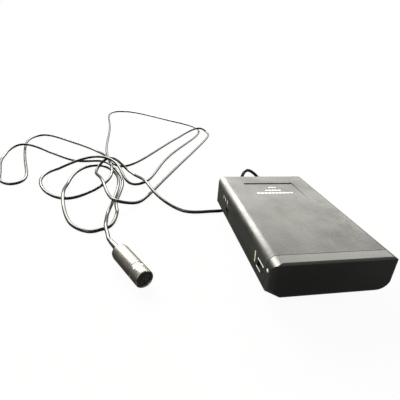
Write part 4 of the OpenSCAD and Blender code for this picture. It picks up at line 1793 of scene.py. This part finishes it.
@dataclass
class BatteryEnd:
    """The sliding cap and everything that it closes off.

    Attributes:
        dot: The middle of the pale dot on the cap's left side.
        dot_radius: Its radius.
        dot_foot: How far in it starts.
        dot_top: Where its dome starts.
        dot_dome: Places in its dome, each with the share of the radius that is left there.
    """

    dot: Vector = field(default_factory=lambda: Vector((-33.0, -48.5, 19.6)) * MM)
    dot_radius: float = 0.95 * MM
    dot_foot: float = -0.2 * MM
    dot_top: float = 0.05 * MM
    dot_dome: tuple[Point2, ...] = ((0.16 * MM, 0.75), (0.2 * MM, 0.4), (0.21 * MM, 0.0))

    def build(self) -> None:
        """Dresses the cap, the battery and what holds and connects it."""
        Bench.dress("battery_cap", SMOOTH_CAP, 0.22 * MM)
        Bench.dress("cap_foam", GREY_FOAM)
        Bench.dress("battery_tray", TRAY_PLASTIC, 0.15 * MM)
        low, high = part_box("battery")
        steel, navy, cream = (0.55, 0.55, 0.53), (0.02, 0.05, 0.14), (0.62, 0.6, 0.55)
        jacket = Striped(
            "battery_jacket", (0.05, 0.05, 0.055), Way.Y, low.y, high.y,
            ((0.0, steel), (0.03, navy), (0.42, cream), (0.46, navy), (0.97, steel)),
            roughness=0.3,
        )
        Bench.dress("battery", jacket, 0.3 * MM)
        Bench.dress("battery_snaps", NICKELLED, 0.2 * MM)
        Bench.dress("battery_contacts", BRASS, 0.12 * MM)
        Bench.dress("power_leads", POWER_COLOURS)
        profile = stud(self.dot_foot, self.dot_top, self.dot_radius, self.dot_dome)
        axis = out_of_left_side(self.dot)
        Bench.lathe("cap_index_dot", axis, profile, PRINT_AND_HIGHLIGHT, "cap", "print_white", (), 32)


@dataclass
class BeltClip:
    """The sprung clip on the back, with its bracket, pin, spring and screws.

    Attributes:
        turns: How many turns the spring has.
        wire: The radius of its wire.
        coil_radius: The radius of its turns.
        coil_gap: The room between two turns.
        coil_steps: How many points a turn has.
        leg_out: How far from the pin its leg comes down.
        leg_height: How high the leg lies, in radii of the wire.
    """

    turns: int = 4
    wire: float = 0.35 * MM
    coil_radius: float = 1.2 * MM
    coil_gap: float = 0.02 * MM
    coil_steps: int = 28
    leg_out: float = 2.6 * MM
    leg_height: float = 3.2

    def build(self) -> None:
        """Dresses the clip's pieces and winds its spring."""
        Bench.dress("belt_clip", CLIP_PAINT, 0.3 * MM)
        Bench.dress("clip_bracket", CLIP_STEEL, 0.15 * MM)
        Bench.dress("clip_screws", SCREW_STEEL)
        Bench.dress("clip_pin", NICKELLED, 0.1 * MM)
        self.spring()

    def spring(self) -> None:
        """Winds the torsion spring round the pin and runs its leg down the clip."""
        low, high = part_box("clip_pin")
        centre = (low + high) / 2
        box_low, box_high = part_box("clip_spring")
        pitch = 2 * self.wire + self.coil_gap
        width = pitch * (self.turns - 0.5)
        path = []
        for k in range(int(self.coil_steps * (self.turns - 0.25)) + 1):
            angle = 2 * math.pi * k / self.coil_steps
            x = -width / 2 + pitch * k / self.coil_steps
            y = centre.y + self.coil_radius * math.sin(angle)
            z = centre.z + self.coil_radius * math.cos(angle)
            path.append(Vector((max(box_low.x + self.wire, min(x, box_high.x - self.wire)), y, z)))
        end = path[-1]
        height = box_low.z + self.leg_height * self.wire
        path.append(Vector((end.x, centre.y - self.leg_out, height)))
        path.append(Vector((end.x, box_low.y + self.wire, height)))
        Bench.tube(
            "wound_spring", path, self.wire, CLIP_STEEL, "case", "clip_steel", ("clip_spring",), 3
        )


@dataclass
class Electronics:
    """The circuit board and the parts on it.

    Attributes:
        plain: The nodes of one colour, with their finishes and the width of their broken edges.
    """

    plain: tuple[tuple[str, Finish, float], ...] = (
        ("main_board", BOARD_MASK, 0.0),
        ("rf_shield", TINNED, 0.2 * MM),
        ("crystal", CRYSTAL_CAN, 0.2 * MM),
        ("tuning_cans", TINNED, 0.25 * MM),
        ("tuning_cores", FERRITE, 0.0),
        ("disc_capacitors", DIPPED_DISC, 0.4 * MM),
    )

    def build(self) -> None:
        """Dresses every part, with stripes that follow the parts' own boxes."""
        for node, finish, edge in self.plain:
            Bench.dress(node, finish, edge)
        low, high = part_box("level_trimmers")
        Bench.dress(
            "level_trimmers",
            Striped(
                "trimmer_blue", (0.08, 0.08, 0.08), Way.Z, low.z, high.z,
                ((0.0, (0.04, 0.14, 0.4)), (0.8, (0.75, 0.73, 0.66))),
            ),
            0.2 * MM,
        )
        Bench.dress(
            "electrolytics",
            Striped(
                "capacitor_sleeve", (0.1, 0.1, 0.1), Way.UPWARD, 0.0, 1.0,
                ((0.0, (0.02, 0.025, 0.08)), (0.9, (0.78, 0.78, 0.76))), shiny_from=0.9,
            ),
            0.3 * MM,
        )
        low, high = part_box("integrated_circuits")
        Bench.dress(
            "integrated_circuits",
            Striped(
                "chip_black", (0.06, 0.06, 0.06), Way.Z, high.z, low.z,
                ((0.0, (0.014, 0.014, 0.015)), (0.82, (0.68, 0.68, 0.66))), shiny_from=0.82,
                roughness=0.5,
            ),
            0.12 * MM,
        )
        low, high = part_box("resistors")
        tan, brown, red, gold = (0.6, 0.42, 0.2), (0.12, 0.04, 0.02), (0.5, 0.03, 0.02), (0.6, 0.42, 0.1)
        Bench.dress(
            "resistors",
            Striped(
                "banded_resistor", tan, Way.X, low.x, high.x,
                ((0.0, tan), (0.14, brown), (0.24, tan), (0.34, red), (0.44, tan), (0.54, brown),
                 (0.64, tan), (0.8, gold), (0.9, tan)),
                roughness=0.28,
            ),
            0.4 * MM,
        )


# ------------------------------------------------------------------ the whole


def clear_factory_objects() -> None:
    """Takes Blender's own starting objects out of the scene."""
    for name in FACTORY_OBJECTS:
        if name in bpy.data.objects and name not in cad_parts:
            bpy.data.objects.remove(bpy.data.objects[name])


def main() -> None:
    """Builds everything in order."""
    logging.basicConfig(level=logging.INFO, format="%(name)s: %(message)s")
    clear_factory_objects()
    cad_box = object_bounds()
    Studio().build()
    Cord(cad_box).build(Microphone())
    for assembly in (Case(), Switch(), BatteryEnd(), BeltClip(), Electronics()):
        assembly.build()
        log.info("built %s", type(assembly).__name__)
    for name in Bench.made:
        log.info("made %s", name)


if __name__ == "__main__":
    main()
